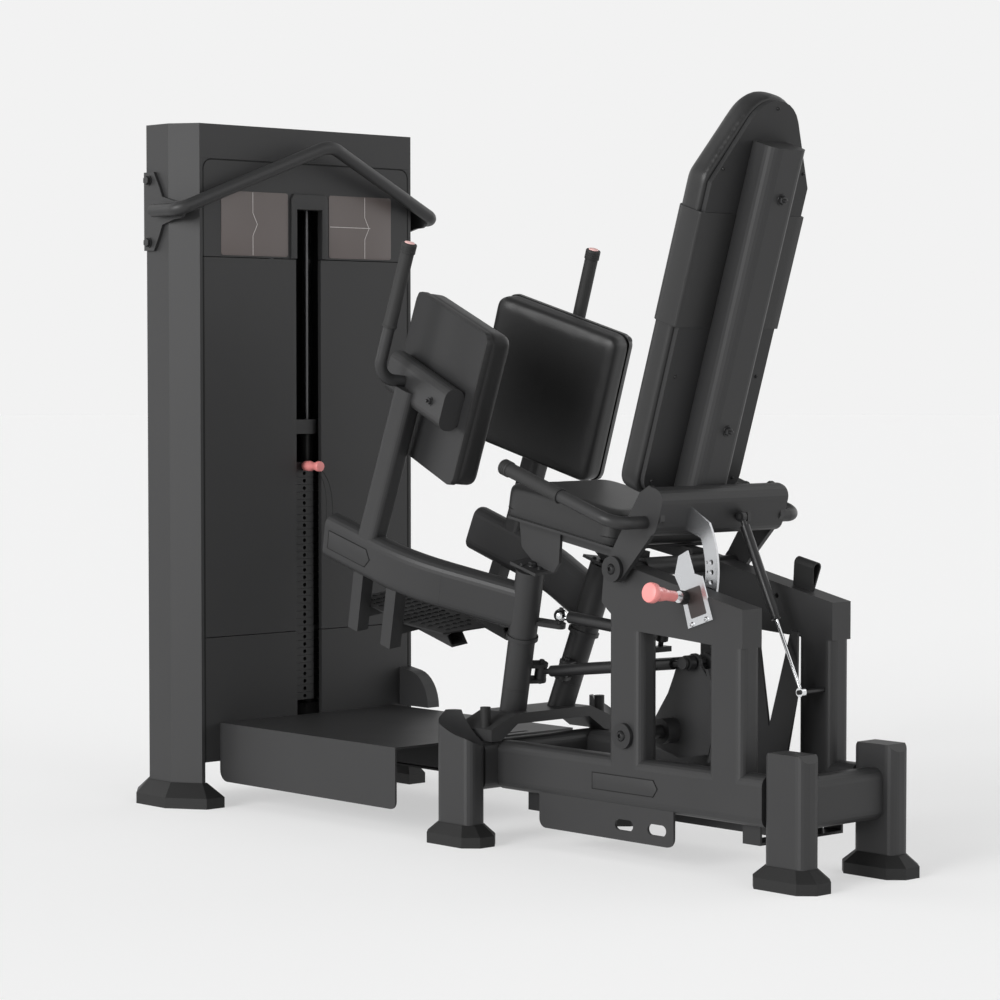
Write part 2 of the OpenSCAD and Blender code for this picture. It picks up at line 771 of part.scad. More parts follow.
// side frame: two posts on the rail and the sloping beam on top of them
module side_frame() {
    slope = atan2(beam_front[1] - beam_rear[1], beam_front[0] - beam_rear[0]);
    difference() {
        union() {
            for (y = [front_post_y, rear_post_y])
                bar_z(-rail_x, y, rail_top - 26, y == front_post_y ? 560 : 530, tube_w, post_len, 18);
            intersection() {
                sheet_x(-rail_out, -rail_in, [
                    beam_front, beam_tip, [front_post_y + post_len / 2, beam_tip[1] - 16],
                    [front_post_y, beam_low_front], [rear_post_y, beam_low_rear],
                    [rear_post_y - post_len / 2, beam_low_rear], beam_rear
                ]);
                translate([-rail_x, beam_rear[0] - 60, beam_rear[1] - 78]) rotate([slope, 0, 0])
                    translate([0, 600, 0]) rotate([90, 0, 0]) linear_extrude(620) polygon(round_rect(tube_w, 186, 14));
            }
        }
        bar_y(-rail_x, rear_leg_y, front_leg_y, rail_z + tube_h / 2, tube_w, tube_h, tube_r);
        rod_x(-rail_out - 1, -rail_in + 1, axle_y, axle_z, axle_d + 2 * fit);
        rod_x(-rail_out - 1, -rail_in + 1, recline_y, recline_z, axle_d + 2 * fit);
        lock_axis() translate([0, 0, -90]) cylinder(h = 120, d = 11);
    }
}

module side_frame_left() { color(paint) side_frame(); }

module side_frame_right() { color(paint) mirror([1, 0, 0]) side_frame(); }

module axles() {
    color(dark) {
        rod_x(-rail_out, rail_out, axle_y, axle_z, axle_d);
        both() {
            axle_cap(-rail_out, axle_y, axle_z);
            rod_x(-lever_x - 6 - gap, -rail_in, recline_y, recline_z, axle_d);
            axle_cap(-lever_x - 6 - gap, recline_y, recline_z);
        }
    }
}

module floor_brackets() {
    y0 = -640;
    y1 = -222;
    x = rail_out - 6;
    color(paint) both() difference() {
        sheet_x(-x, -x + 6, concat([[y1, rail_z + 12], [y0, rail_z + 12]],
            [for (a = [180:15:270]) [y0 + 20 + 20 * cos(a), 70 + 20 * sin(a)]],
            [for (a = [270:15:360]) [y1 - 20 + 20 * cos(a), 70 + 20 * sin(a)]]));
        for (y = [-490, -590]) hull() for (s = [-1, 1]) translate([-x - 1, y + s * 16, 84]) rotate([0, 90, 0])
            cylinder(h = 8, d = 24);
        bar_y(-rail_x, rear_leg_y, front_leg_y, rail_z + tube_h / 2, tube_w, tube_h, tube_r);
    }
}

module guard_plates() {
    color(dark) {
        // channel under the belt
        difference() {
            translate([-44, -880, 84]) cube([88, 780, 36]);
            translate([-40, -881, 88]) cube([80, 782, 40]);
        }
        // cross ties that hang the channel from the rails
        for (y = [-860, -200]) translate([-rail_in - 20, y, 78]) cube([2 * rail_in + 40, 50, 6]);
        for (y = [-860, -200]) both() translate([-rail_in - 20, y, 84]) cube([6, 50, rail_z - 84]);
        // notched plate between the rear posts and the foot that carries it
        sheet_x(52, 58, [
            [-798, 512], [-796, 373], [-768, 244], [-740, 244], [-740, 100], [-660, 100], [-660, 244],
            [-640, 244], [-640, 522], [-681, 520], [-716, 302], [-778, 516]
        ]);
        translate([42, -740, 100]) cube([11, 80, 16]);
    }
}

beam_slope = atan2(beam_front[1] - beam_rear[1], beam_front[0] - beam_rear[0]);

// loop of strap that stands on the right beam
module strap_loop() {
    y = -735;
    t = 3;
    color(rubber) translate([rail_x, y, beam_front[1] + (y - beam_front[0]) * tan(beam_slope) + gap])
        rotate([beam_slope, 0, 0]) difference() {
            sheet_y(-28, 28, concat([[-4, 0]], [for (a = [200:-20:-20]) [13 * cos(a), 52 + 13 * sin(a)]], [[4, 0]]));
            sheet_y(-30, 30, concat([[-1, 14]], [for (a = [200:-20:-20]) [(13 - t) * cos(a), 52 + (13 - t) * sin(a)]], [[1, 14]]));
        }
}

// ---------- seat ----------

seat_bar_x = rail_in - 8;             // outer face of the bars under the seat
seat_bar_y = -393;                    // rear end of those bars, just clear of the cross tube

module seat_frame() {
    color(paint) {
        // pan under the cushion and two bars under the pan
        seat_plane() {
            translate([-seat_w / 2 + 16, -seat_len + 14, -pan_t - gap]) cube([seat_w - 32, seat_len - 28, pan_t]);
            both() translate([-seat_bar_x, seat_bar_y, -pan_t - 26 - gap]) cube([36, -40 - seat_bar_y, 28]);
        }
        // cross tube between the recline pivots
        rod_x(-rail_in + gap, rail_in - gap, recline_y, recline_z, 42);
        // plates from the bars down to the pivot shafts
        both() {
            sheet_x(-seat_bar_x - 6, -seat_bar_x + 2, [
                [-232, 716], [-96, 738], [-104, 672], [-150, 634], [-208, 618], [-226, 640]
            ]);
            arm_frame() translate([-26, -42, sleeve_z1 + 4]) cube([60, 84, 7]);
        }
    }
}

module seat_cushion() {
    color(hide) seat_plane() intersection() {
        translate([0, 0, 0]) linear_extrude(seat_t) translate([0, -seat_len / 2]) polygon(round_rect(seat_w, seat_len, 40, 6));
        translate([0, 0, seat_t / 2]) rotate([0, 90, 0]) linear_extrude(seat_w + 2, center = true)
            translate([0, -seat_len / 2]) polygon(round_rect(seat_t, seat_len, 14));
    }
}

// ---------- arms ----------

module arm(side) {
    color(paint) hand(side) {
        difference() {
            union() {
                arm_frame() {
                    // front run, bend and rear run of the oval tube
                    translate([0, 0, arm_z]) {
                        bar_y(-arm_reach_x, bend_y + bend_t - 2, arm_reach_y, 0, arm_w, arm_h, 24);
                        translate([-arm_reach_x + bend_r, bend_y + bend_t, 0]) rotate([0, 0, 180])
                            rotate_extrude(angle = bend_a, $fn = 96) translate([bend_r, 0])
                                polygon(round_rect(arm_w + 0.4, arm_h + 0.4, 24));
                        rotate([0, 0, bend_a]) bar_y(0, 10, norm([arm_reach_x, bend_y]) - bend_t + 2, 0, arm_w, arm_h, 24);
                    }
                    // sleeve, its lip and the hub of the link lever
                    translate([0, 0, sleeve_z0]) cylinder(h = sleeve_z1 - sleeve_z0, d = sleeve_d);
                    translate([0, 0, sleeve_z0 - 7]) cylinder(h = 9, d = sleeve_d + 8);
                    translate([0, 0, lever_z - 34]) cylinder(h = sleeve_z0 - lever_z + 30, d = sleeve_d - 4);
                    // upright to the pad bracket
                    translate([-arm_reach_x, upright_y, arm_z + 30]) rotate([4.2, 6.5, 0])
                        linear_extrude(385) polygon(round_rect(52, 60, 16));
                    // hangers of the footrest
                    for (y = [440, 322]) translate([-arm_reach_x + 2 - hanger / 2, y - hanger / 2, 60])
                        cube([hanger, hanger, arm_z - 85]);
                    // forked link lever
                    for (s = [-1, 1]) rotate([0, 0, lever_a]) translate([0, 0, lever_z + s * (lever_gap + lever_t) / 2])
                        lever_plate(lever_r, lever_t);
                    if (side < 0) rotate([0, 0, atan2(damper_ball[1], damper_ball[0])])
                        translate([0, 0, damper_ball[2] - 24]) lever_plate(norm([damper_ball[0], damper_ball[1]]), 10);
                }
                pad_frame() {
                    bar_y(-bracket_t / 2, bracket_y0, bracket_y1, bracket_zc, bracket_t, bracket_h, 23);
                    translate([0, handle_y, bracket_zc]) bent_handle();
                }
            }
            arm_frame() {
                // bores for the shaft above and for the post below
                translate([0, 0, sleeve_z0 - 7]) cylinder(h = 200, d = pivot_d + 2 * fit);
                translate([0, 0, -20]) cylinder(h = sleeve_z0 + 13, d = post_d + 2 * fit);
                // eyes of the link pin
                rotate([0, 0, lever_a]) translate([lever_r, 0, lever_z - 40]) cylinder(h = 80, d = link_pin_d + 2 * fit);
            }
        }
        arm_frame() {
            // link pin and, on the left, the damper's ball stud
            rotate([0, 0, lever_a]) translate([lever_r, 0, lever_z - lever_gap / 2 - lever_t - 5])
                cylinder(h = lever_gap + 2 * lever_t + 12, d = link_pin_d);
            if (side < 0) translate([damper_ball[0], damper_ball[1], damper_ball[2] - 26]) cylinder(h = 44, d = 10);
        }
    }
}

// plate from the hub to a pin at distance r along X, resting on z = -t / 2
module lever_plate(r, t) {
    translate([0, 0, -t / 2]) linear_extrude(t) {
        translate([0, -15]) square([r, 30]);
        translate([r, 0]) circle(d = 30);
    }
}

// handle tube: out from the bracket, then up
module bent_handle() {
    translate([-bracket_t + 6, 0, 0]) rotate([0, -90, 0]) cylinder(h = -handle_x - handle_r - bracket_t + 8, d = bar_d);
    elbow([handle_x, 0, 0], [-1, 0, 0], [0, 0, 1], handle_r, bar_d);
    translate([handle_x, 0, handle_r - 2]) cylinder(h = grip_z1 - bracket_zc - handle_r - 4, d = bar_d);
}

module arm_left() { arm(-1); }

module arm_right() { arm(1); }

module pad_shell(side) {
    color(dark) hand(side) pad_frame() difference() {
        translate([gap, 0, 0]) rotate([0, 90, 0]) linear_extrude(shell_t - gap)
            polygon(round_rect(pad_h, pad_len, 12));
    }
}

module pad_cushion(side) {
    color(hide) hand(side) pad_frame() intersection() {
        translate([shell_t + gap, 0, 0]) rotate([0, 90, 0]) linear_extrude(pad_foam)
            polygon(round_rect(pad_h + 8, pad_len + 8, 26));
        translate([shell_t + gap + pad_foam / 2 - 8, 0, 0]) rotate([90, 0, 0]) linear_extrude(pad_len + 20, center = true)
            polygon(round_rect(pad_foam + 16, pad_h + 8, 22));
    }
}

module pad_shell_left() { pad_shell(-1); }

module pad_shell_right() { pad_shell(1); }

module pad_cushion_left() { pad_cushion(-1); }

module pad_cushion_right() { pad_cushion(1); }

module grip(side) {
    color(rubber) hand(side) pad_frame() translate([handle_x, handle_y, 0]) difference() {
        union() {
            translate([0, 0, grip_z0]) cylinder(h = grip_z1 - grip_z0 - 14, d = grip_d);
            translate([0, 0, grip_z1 - 22]) cylinder(h = 22, d = grip_d + 4);
            translate([0, 0, grip_z0]) cylinder(h = 6, d = grip_d + 3);
        }
        translate([0, 0, grip_z0 - 1]) cylinder(h = grip_z1 - grip_z0 - 5, d = bar_d + 2 * fit);
    }
}

module grip_left() { grip(-1); }

module grip_right() { grip(1); }

// tread plate on a short carrier tube, with two arms from the hangers
module footrest(side) {
    x0 = -arm_reach_x + 2 + hanger / 2;
    color(dark) hand(side) arm_frame() {
        translate([0, 0, tread_z]) linear_extrude(4) polygon([
            [x0 + gap, 475], [75, 475], [75, 194], [-47, 211], [x0 + gap, 302]
        ]);
        translate([-18, 205, tread_z - 36]) difference() {
            cube([50, 245, 36 + e]);
            translate([4, -1, 4]) cube([42, 247, 28]);
            rotate([-45, 0, 0]) translate([-1, -40, -30]) cube([52, 40, 60]);
        }
        for (y = [322, 440]) translate([x0, y - 12, tread_z - 28]) cube([-18 - x0 + e, 24, 28 + e]);
    }
}

module footrest_left() { footrest(-1); }

module footrest_right() { footrest(1); }

// ---------- rocker, links and damper ----------

module rocker() {
    p = rocker_pin;
    color(paint) difference() {
        union() {
            rod_x(-60, 60, axle_y, axle_z, 56);
            for (s = [-1, 1]) translate([s > 0 ? rocker_half - rocker_plate : -rocker_half, 0, 0])
                sheet_x(0, rocker_plate, [
                    [axle_y + 62, axle_z + 10], [axle_y + 50, axle_z - 40], [axle_y - 20, axle_z - 60],
                    [axle_y - 110, axle_z - 44], [axle_y - 126, axle_z + 20], [p[0] - 46, p[1] - 34],
                    for (a = [190:-20:30]) [p[0] + 20 * cos(a), p[1] + 20 * sin(a)],
                    [p[0] + 48, p[1] - 2], [p[0] + 60, p[1] - 34], [p[0] + 78, p[1] - 74], [axle_y + 38, axle_z + 46]
                ]);
            // curved face that the belt lies on
            intersection() {
                translate([-rocker_half, axle_y + 160, axle_z + 30]) rotate([0, 90, 0]) difference() {
                    cylinder(h = 2 * rocker_half, r = 290, $fn = 96);
                    translate([0, 0, -1]) cylinder(h = 2 * rocker_half + 2, r = 282, $fn = 96);
                }
                translate([-60, axle_y - 160, axle_z - 62]) cube([120, 120, p[1] - axle_z + 50]);
            }
        }
        rod_x(-70, 70, axle_y, axle_z, axle_d + 2 * fit);
    }
    // link pin with its heads
    color(steel) {
        rod_x(-link_x - eye_w / 2 - 12, link_x + eye_w / 2 + 12, p[0], p[1], link_pin_d);
        both() rod_x(-link_x - eye_w / 2 - 12, -link_x - eye_w / 2 - 4, p[0], p[1], 26);
    }
}

// where the left link meets its lever, in world coordinates
function turned(v, a, b) = let (y1 = v[1] * cos(a) - v[2] * sin(a), z1 = v[1] * sin(a) + v[2] * cos(a))
    [v[0] * cos(b) + z1 * sin(b), y1, -v[0] * sin(b) + z1 * cos(b)];
function arm_point(v) = [-pivot_x, pivot_y, pivot_z] + turned(v, lean_back, -splay);
link_front = arm_point([lever_r * cos(lever_a), lever_r * sin(lever_a), lever_z]);
link_rear = [-link_x, rocker_pin[0], rocker_pin[1]];

module link_rod() {
    d = link_rear - link_front;
    l = norm(d);
    color(dark) difference() {
        union() {
            // front eye on the lever's pin, rear eye round the rocker's pin
            arm_frame() rotate([0, 0, lever_a]) translate([lever_r, 0, lever_z - lever_gap / 2 + gap])
                cylinder(h = lever_gap - 2 * gap, d = 28);
            rod_x(-link_x - eye_w / 2, -link_x + eye_w / 2, rocker_pin[0], rocker_pin[1], 34);
            translate(link_front) multmatrix(look_along(d / l)) {
                translate([0, 0, 8]) cylinder(h = 32, d = 13);
                translate([0, 0, 38]) cylinder(h = l - 38 - 46, d = link_d);
                translate([0, 0, l - 50]) cylinder(h = 40, d = 15);
            }
        }
        arm_frame() rotate([0, 0, lever_a]) translate([lever_r, 0, lever_z - 60]) cylinder(h = 120, d = link_pin_d + 2 * fit);
        rod_x(-link_x - 40, -link_x + 40, rocker_pin[0], rocker_pin[1], link_pin_d + 2 * open_gap);
    }
}

module link_left() { link_rod(); }

module link_right() { mirror([1, 0, 0]) link_rod(); }

damper_front = arm_point(damper_ball);
damper_dir = (damper_front - damper_rear) / norm(damper_front - damper_rear);
damper_len = norm(damper_front - damper_rear);

module damper_body() {
    color(dark) difference() {
        translate(damper_rear) {
            multmatrix(look_along(damper_dir)) {
                translate([0, 0, 8]) cylinder(h = 22, d = 14);
                translate([0, 0, 28]) cylinder(h = damper_len - 62, d = 28);
            }
            rotate([lean_back, -splay, 0]) cylinder(h = 18, d = 30, center = true);
        }
        translate(damper_rear) {
            rotate([lean_back, -splay, 0]) cylinder(h = 60, d = 12 + 2 * fit, center = true);
            multmatrix(look_along(damper_dir)) translate([0, 0, 60]) cylinder(h = 400, d = 22);
        }
    }
}

// the rod sits low in the tube at rest and high in it when the arms are open
module damper_rod() {
    color(steel) difference() {
        translate(damper_rear) multmatrix(look_along(damper_dir)) {
            translate([-damper_side, -damper_drop, 130]) cylinder(h = damper_len - 140, d = 10);
            translate([0, 0, damper_len]) sphere(d = 31);
        }
        arm_frame() translate([damper_ball[0], damper_ball[1], damper_ball[2] - 60]) cylinder(h = 120, d = 10 + 2 * fit);
    }
}

// ---------- backrest ----------

module back_frame() {
    color(paint) {
        difference() {
            union() {
                // oval cross tube and the spine
                cross_tube();
                back_plane() translate([0, 0, spine_z0]) linear_extrude(spine_z1) polygon(concat(
                    [[-spine_w / 2, 14 + spine_t - gap]],
                    [for (a = [0:15:90]) [-spine_w / 2 + 26 - 26 * cos(a), 14 + 30 - 30 * sin(a)]],
                    [for (a = [90:-15:0]) [spine_w / 2 - 26 + 26 * cos(a), 14 + 30 - 30 * sin(a)]],
                    [[spine_w / 2, 14 + spine_t - gap]]
                ));
                both() {
                    // lever plates down to the recline pivots
                    sheet_x(-lever_x - 6, -lever_x + 6, concat(
                        [for (a = [200:20:400]) [recline_y + 30 * cos(a + 14), recline_z + 30 * sin(a + 14)]],
                        [[back_foot[0] + 34, back_foot[1] + 40], [back_foot[0] + 6, back_foot[1] + 56],
                         [back_foot[0] - 26, back_foot[1] + 40], [back_foot[0] - 30, back_foot[1] - 20]]));
                    hip_handle();
                }
            }
            rod_x(-300, 300, recline_y, recline_z, axle_d + 2 * fit);
        }
        // ball stud of the gas strut
        rod_x(strut_x - 7, strut_x + 20, strut_top[0], strut_top[1], 10);
        translate([strut_x + 10, strut_top[0] - 9, strut_top[1] - 10]) cube([10, 30, 20]);
    }
}

hip_bend = 40;

// hip handle tube: out from the lever plate, then forward and up
module hip_handle() {
    forward = [0, cos(hip_rise), sin(hip_rise)];
    translate([-hip_x + hip_bend - 2, hip_y, hip_z]) rotate([0, 90, 0]) cylinder(h = hip_x - hip_bend - lever_x + 4, d = bar_d);
    elbow([-hip_x, hip_y, hip_z], [-1, 0, 0], forward, hip_bend, bar_d);
    translate([-hip_x, hip_y, hip_z]) rotate([hip_rise - 90, 0, 0])
        translate([0, 0, hip_bend - 2]) cylinder(h = hip_run - 4, d = bar_d);
}

module hip_grips() {
    color(rubber) both() translate([-hip_x + hip_bend, hip_y, hip_z]) rotate([hip_rise, 0, 0])
        translate([-hip_bend, hip_bend + hip_run - hip_grip_len, 0]) rotate([-90, 0, 0]) difference() {
            union() {
                cylinder(h = hip_grip_len - 12, d = grip_d);
                translate([0, 0, hip_grip_len - 20]) cylinder(h = 20, d = grip_d + 4);
            }
            translate([0, 0, -1]) cylinder(h = hip_grip_len - 5, d = bar_d + 2 * fit);
        }
}

sector_x = -104;
sector_r = 205;
sector_w = 36;
hole_step = 6;
pin_a = 198.3;                     // where the locking pin meets the sector

// curved plate whose holes set the angle of the back
module back_sector() {
    color(steel) difference() {
        sheet_x(sector_x - 3, sector_x + 3, concat(
            [for (a = [206:-3:150]) [recline_y + (sector_r + sector_w / 2) * cos(a), recline_z + (sector_r + sector_w / 2) * sin(a)]],
            [[back_foot[0] - 12, back_foot[1] + 20], [back_foot[0] + 6, back_foot[1] - 30]],
            [for (a = [158:3:206]) [recline_y + (sector_r - sector_w / 2) * cos(a), recline_z + (sector_r - sector_w / 2) * sin(a)]]));
        for (i = [0:4]) rod_x(sector_x - 10, sector_x + 10, recline_y + sector_r * cos(pin_a - i * hole_step),
            recline_z + sector_r * sin(pin_a - i * hole_step), 12);
        cross_tube();
    }
}

// oval cross tube at the foot of the back
module cross_tube() {
    translate([-back_tube_half, back_foot[0], back_foot[1]]) rotate([back_lean, 0, 0]) rotate([90, 0, 90])
        linear_extrude(2 * back_tube_half) polygon(round_rect(back_tube_w, back_tube_h, 26));
}

// outline of the backrest across its width: long rectangle with a rounded, tapered head
function back_outline(w, l, r_top, lift) = concat(
    [for (a = [180:15:270]) [-w / 2 + 36 + 36 * cos(a), lift + 36 + 36 * sin(a)]],
    [for (a = [270:15:360]) [w / 2 - 36 + 36 * cos(a), lift + 36 + 36 * sin(a)]],
    [[w / 2, lift + l - 185]],
    [for (a = [30:12:150]) [r_top * cos(a), lift + l - r_top + r_top * sin(a)]],
    [[-w / 2, lift + l - 185]]
);

module back_shell() {
    color(dark) back_plane() translate([0, 14 + spine_t + shell_th, 0]) rotate([90, 0, 0])
        linear_extrude(shell_th - gap) polygon(back_outline(back_w - 22, back_len - 22, 84, 13));
}

module back_cushion() {
    color(hide) back_plane() translate([0, 14 + spine_t + shell_th + gap + back_t, 0]) rotate([90, 0, 0])
        linear_extrude(back_t) polygon(back_outline(back_w, back_len, 93, 2));
}

// ---------- gas strut ----------

module strut_body() {
    color(dark) difference() {
        translate([strut_x, strut_low[0], strut_low[1]]) rotate([-strut_a, 0, 0]) {
            translate([0, 0, strut_len - 240]) cylinder(h = 218, d = 22);
            translate([0, 0, strut_len - 24]) cylinder(h = 16, d = 12);
            translate([0, 0, strut_len]) rotate([0, 90, 0]) cylinder(h = 12, d = 22, center = true);
        }
        translate([strut_x, strut_low[0], strut_low[1]]) rotate([-strut_a, 0, 0]) cylinder(h = strut_len - 30, d = 17);
        rod_x(strut_x - 20, strut_x + 20, strut_top[0], strut_top[1], 10 + 2 * fit);
    }
}

module strut_rod() {
    color(steel) difference() {
        translate([strut_x, strut_low[0], strut_low[1]]) rotate([-strut_a, 0, 0]) {
            cylinder(h = strut_len - 120, d = 8);
            rotate([0, 90, 0]) cylinder(h = 12, d = 20, center = true);
        }
        rod_x(strut_x - 20, strut_x + 20, strut_low[0], strut_low[1], 10 + 2 * fit);
    }
}

// ---------- lock of the back ----------

lock_y = recline_y + sector_r * cos(pin_a);
lock_tilt = 9;
lock_z = recline_z + sector_r * sin(pin_a) + (rail_out + 4 + sector_x) * tan(lock_tilt);

lock_stand = 34;                   // knob's foot above the bracket's face
lock_boss = 21;                    // guide boss, short enough for the knob's travel
lock_reach = 68;                   // the pin parks just clear of the sector

// axis of the lock, Z outward from the bracket's face
module lock_axis() {
    translate([-rail_out - 4, lock_y, lock_z]) rotate([0, lock_tilt - 90, 0]) children();
}

module lock_bracket() {
    color(steel) difference() {
        union() {
            sheet_x(-rail_out - 4, -rail_out, [
                [-662, 680], [-688, 693], [-706, 646], [-730, 641], [-763, 551], [-692, 527], [-667, 612], [-651, 638]
            ]);
            lock_axis() cylinder(h = lock_boss, d = 26);
        }
        lock_axis() translate([0, 0, -30]) cylinder(h = 80, d = 10 + 2 * fit);
    }
}

module lock_knob() {
    color(salmon) lock_axis() translate([0, 0, lock_stand + gap])
        rotate_extrude() polygon([[0, 0], [12, 0], [12, 24], [15, 40], [16, 52], [21, 62], [22, 72], [18, 80], [0, 80]]);
    color(steel) lock_axis() translate([0, 0, -lock_reach]) cylinder(h = lock_reach + lock_stand + gap, d = 10);
}

// ---------- loose fastenings of the fixed frame ----------

module frame_bolts() {
    color(dark) {
        // pull-bar ears
        for (s = [-1, 1], z = [1463 - 76, 1463 + 76]) translate([s * (tower_half_w + 8), 935, z]) rotate([0, s * 90, 0]) hex_head(12);
        // studs of the damper and the gas strut
        translate(damper_rear) rotate([lean_back, -splay, 0]) translate([0, 0, -26]) cylinder(h = 40, d = 12);
        translate([-rail_in + gap, damper_rear[1] - 14, damper_rear[2] - 34]) cube([rail_in - 44, 28, 12]);
        rod_x(strut_x - 10, rail_in - gap, strut_low[0], strut_low[1], 10);
    }
}

tower_frame();
tower_cap();
upper_panel();
front_panels();
rear_panel();
guide_rods();
weight_plates();
foot_pads();
pull_bar();
side_guard();
platform();
frame_rails();
frame_legs();
crossbars();
pivot_bridge();
pivot_shafts();
rubber_stops();
side_frame_left();
side_frame_right();
axles();
floor_brackets();
guard_plates();
strap_loop();
seat_frame();
seat_cushion();
lock_bracket();
frame_bolts();
drive_belt();
stack_head();
selector_rod();
stack_belt();
selector_pin();
selector_knob();
pin_lanyard();
head_pulley();
base_pulley();
arm_left();
pad_shell_left();
pad_cushion_left();
grip_left();
footrest_left();
arm_right();
pad_shell_right();
pad_cushion_right();
grip_right();
footrest_right();
rocker();
link_left();
link_right();
damper_body();
damper_rod();
back_frame();
back_sector();
back_shell();
back_cushion();
hip_grips();
strut_body();
strut_rod();
lock_knob();
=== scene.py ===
import json
import math

import bmesh
import bpy
from mathutils import Matrix, Vector


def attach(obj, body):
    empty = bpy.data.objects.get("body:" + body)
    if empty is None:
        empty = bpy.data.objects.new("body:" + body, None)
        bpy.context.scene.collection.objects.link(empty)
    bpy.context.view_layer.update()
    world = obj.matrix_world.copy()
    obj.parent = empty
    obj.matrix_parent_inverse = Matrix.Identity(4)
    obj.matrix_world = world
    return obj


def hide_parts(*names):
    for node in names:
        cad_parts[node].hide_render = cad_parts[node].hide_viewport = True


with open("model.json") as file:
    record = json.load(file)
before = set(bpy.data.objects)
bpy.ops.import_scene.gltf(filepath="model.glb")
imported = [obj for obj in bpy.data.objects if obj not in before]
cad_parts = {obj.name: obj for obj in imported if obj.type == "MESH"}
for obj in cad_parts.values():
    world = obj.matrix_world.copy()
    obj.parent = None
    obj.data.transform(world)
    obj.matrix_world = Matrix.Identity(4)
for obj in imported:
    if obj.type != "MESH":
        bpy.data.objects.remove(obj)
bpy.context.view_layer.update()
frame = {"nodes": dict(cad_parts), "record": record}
scene = bpy.context.scene
nodes = frame["nodes"]


def turned(axis, degrees):
    return Matrix.Rotation(math.radians(degrees), 4, axis)


def moved(x, y, z):  # millimetres
    return Matrix.Translation((x / 1000, y / 1000, z / 1000))


# frames of the pieces that lean, as the part's own drawing has them
seatFrame = moved(0, -86, 748) @ turned("X", 9.8)
backFrame = moved(0, -600, 773) @ turned("X", 17.4)
armFrame = moved(-76.7, -39, 291) @ turned("Y", -6.97) @ turned("X", 17)
padFrame = armFrame @ moved(-28.6, 351.8, 680.8) @ turned("Z", -15) @ turned("Y", 8.4)
mirrorX = Matrix.Scale(-1, 4, (1, 0, 0))
toMinusY = turned("X", 90)
toMinusX = turned("Y", -90)
uprightX = Matrix(((0, 0, -1, 0), (-1, 0, 0, 0), (0, 1, 0, 0), (0, 0, 0, 1)))  # a plate standing and looking to -X
sides = {"left": Matrix.Identity(4), "right": mirrorX}

# camera, lights and floor

view = {
    "place": (-4.775, -5.092, 1.085),
    "azimuth": 42.668,
    "pitch": 2.564,
    "lens": 108.09,
}

studio = {
    "air": 0.888,
    "ceiling": 0.22,
    "rise": (0.12, 0.55),
    "floorTone": 0.45,
    "lamps": {
        "keyLamp": {"towards": (0.96, 0.04, -0.28), "softness": 34, "power": 3.0},
        "fillLamp": {"towards": (-0.15, 0.95, -0.30), "softness": 60, "power": 0.85},
        "sideLamp": {"towards": (-0.92, 0.10, -0.35), "softness": 60, "power": 0.8},
        "backLamp": {"towards": (0.25, -0.85, -0.45), "softness": 60, "power": 0.8},
    },
}


def makeCamera():
    cam = bpy.data.objects.new("viewCamera", bpy.data.cameras.new("viewCamera"))
    cam.data.lens = view["lens"]
    cam.data.sensor_width = 36
    cam.data.clip_end = 200
    cam.location = view["place"]
    cam.rotation_euler = (math.radians(90 - view["pitch"]), 0, math.radians(-view["azimuth"]))
    scene.collection.objects.link(cam)
    scene.camera = cam


def skyAt(height):
    low, high = studio["rise"]
    share = min(1, max(0, (height - low) / (high - low)))
    return studio["air"] + (studio["ceiling"] - studio["air"]) * share


def makeAir():
    # pale all round at eye level and dimmer overhead, like a room with lit walls
    world = bpy.data.worlds.new("studioAir")
    world.use_nodes = True
    tree = world.node_tree
    coord = tree.nodes.new("ShaderNodeTexCoord")
    split = tree.nodes.new("ShaderNodeSeparateXYZ")
    height = tree.nodes.new("ShaderNodeMapRange")
    height.inputs["From Min"].default_value, height.inputs["From Max"].default_value = studio["rise"]
    height.inputs["To Min"].default_value = studio["air"]
    height.inputs["To Max"].default_value = studio["ceiling"]
    tree.links.new(coord.outputs["Generated"], split.inputs[0])
    tree.links.new(split.outputs["Z"], height.inputs["Value"])
    tree.links.new(height.outputs["Result"], tree.nodes["Background"].inputs["Color"])
    scene.world = world


def makeStudio():
    makeAir()
    scene.view_settings.view_transform = "Standard"
    steps = [(i + 0.5) / 200 for i in range(200)]
    lit = sum(2 * skyAt(height) * height for height in steps) / len(steps)
    for name, lamp in studio["lamps"].items():
        data = bpy.data.lights.new(name, "SUN")
        data.angle = math.radians(lamp["softness"])
        data.energy = lamp["power"]
        obj = bpy.data.objects.new(name, data)
        towards = Vector(lamp["towards"]).normalized()
        obj.rotation_euler = towards.to_track_quat("-Z", "Y").to_euler()
        scene.collection.objects.link(obj)
        lit -= lamp["power"] * towards.z / math.pi
    bm = bmesh.new()
    bmesh.ops.create_circle(bm, cap_ends=True, segments=64, radius=60)
    mesh = bpy.data.meshes.new("studioFloor")
    bm.to_mesh(mesh)
    bm.free()
    floor = bpy.data.objects.new("studioFloor", mesh)
    scene.collection.objects.link(floor)
    mat = bpy.data.materials.new("paleFloor")
    mat.use_nodes = True
    shader = mat.node_tree.nodes["Principled BSDF"]
    shader.inputs["Base Color"].default_value = (*[studio["floorTone"]] * 3, 1)
    shader.inputs["Roughness"].default_value = 1
    shader.inputs["Specular IOR Level"].default_value = 0
    shader.inputs["Emission Color"].default_value = (1, 1, 1, 1)
    # lit and glowing together it is as bright as the air
    shader.inputs["Emission Strength"].default_value = studio["air"] - studio["floorTone"] * lit
    mesh.materials.append(mat)


makeCamera()
makeStudio()
print("camera, lights and floor")

# shader groups and finishes


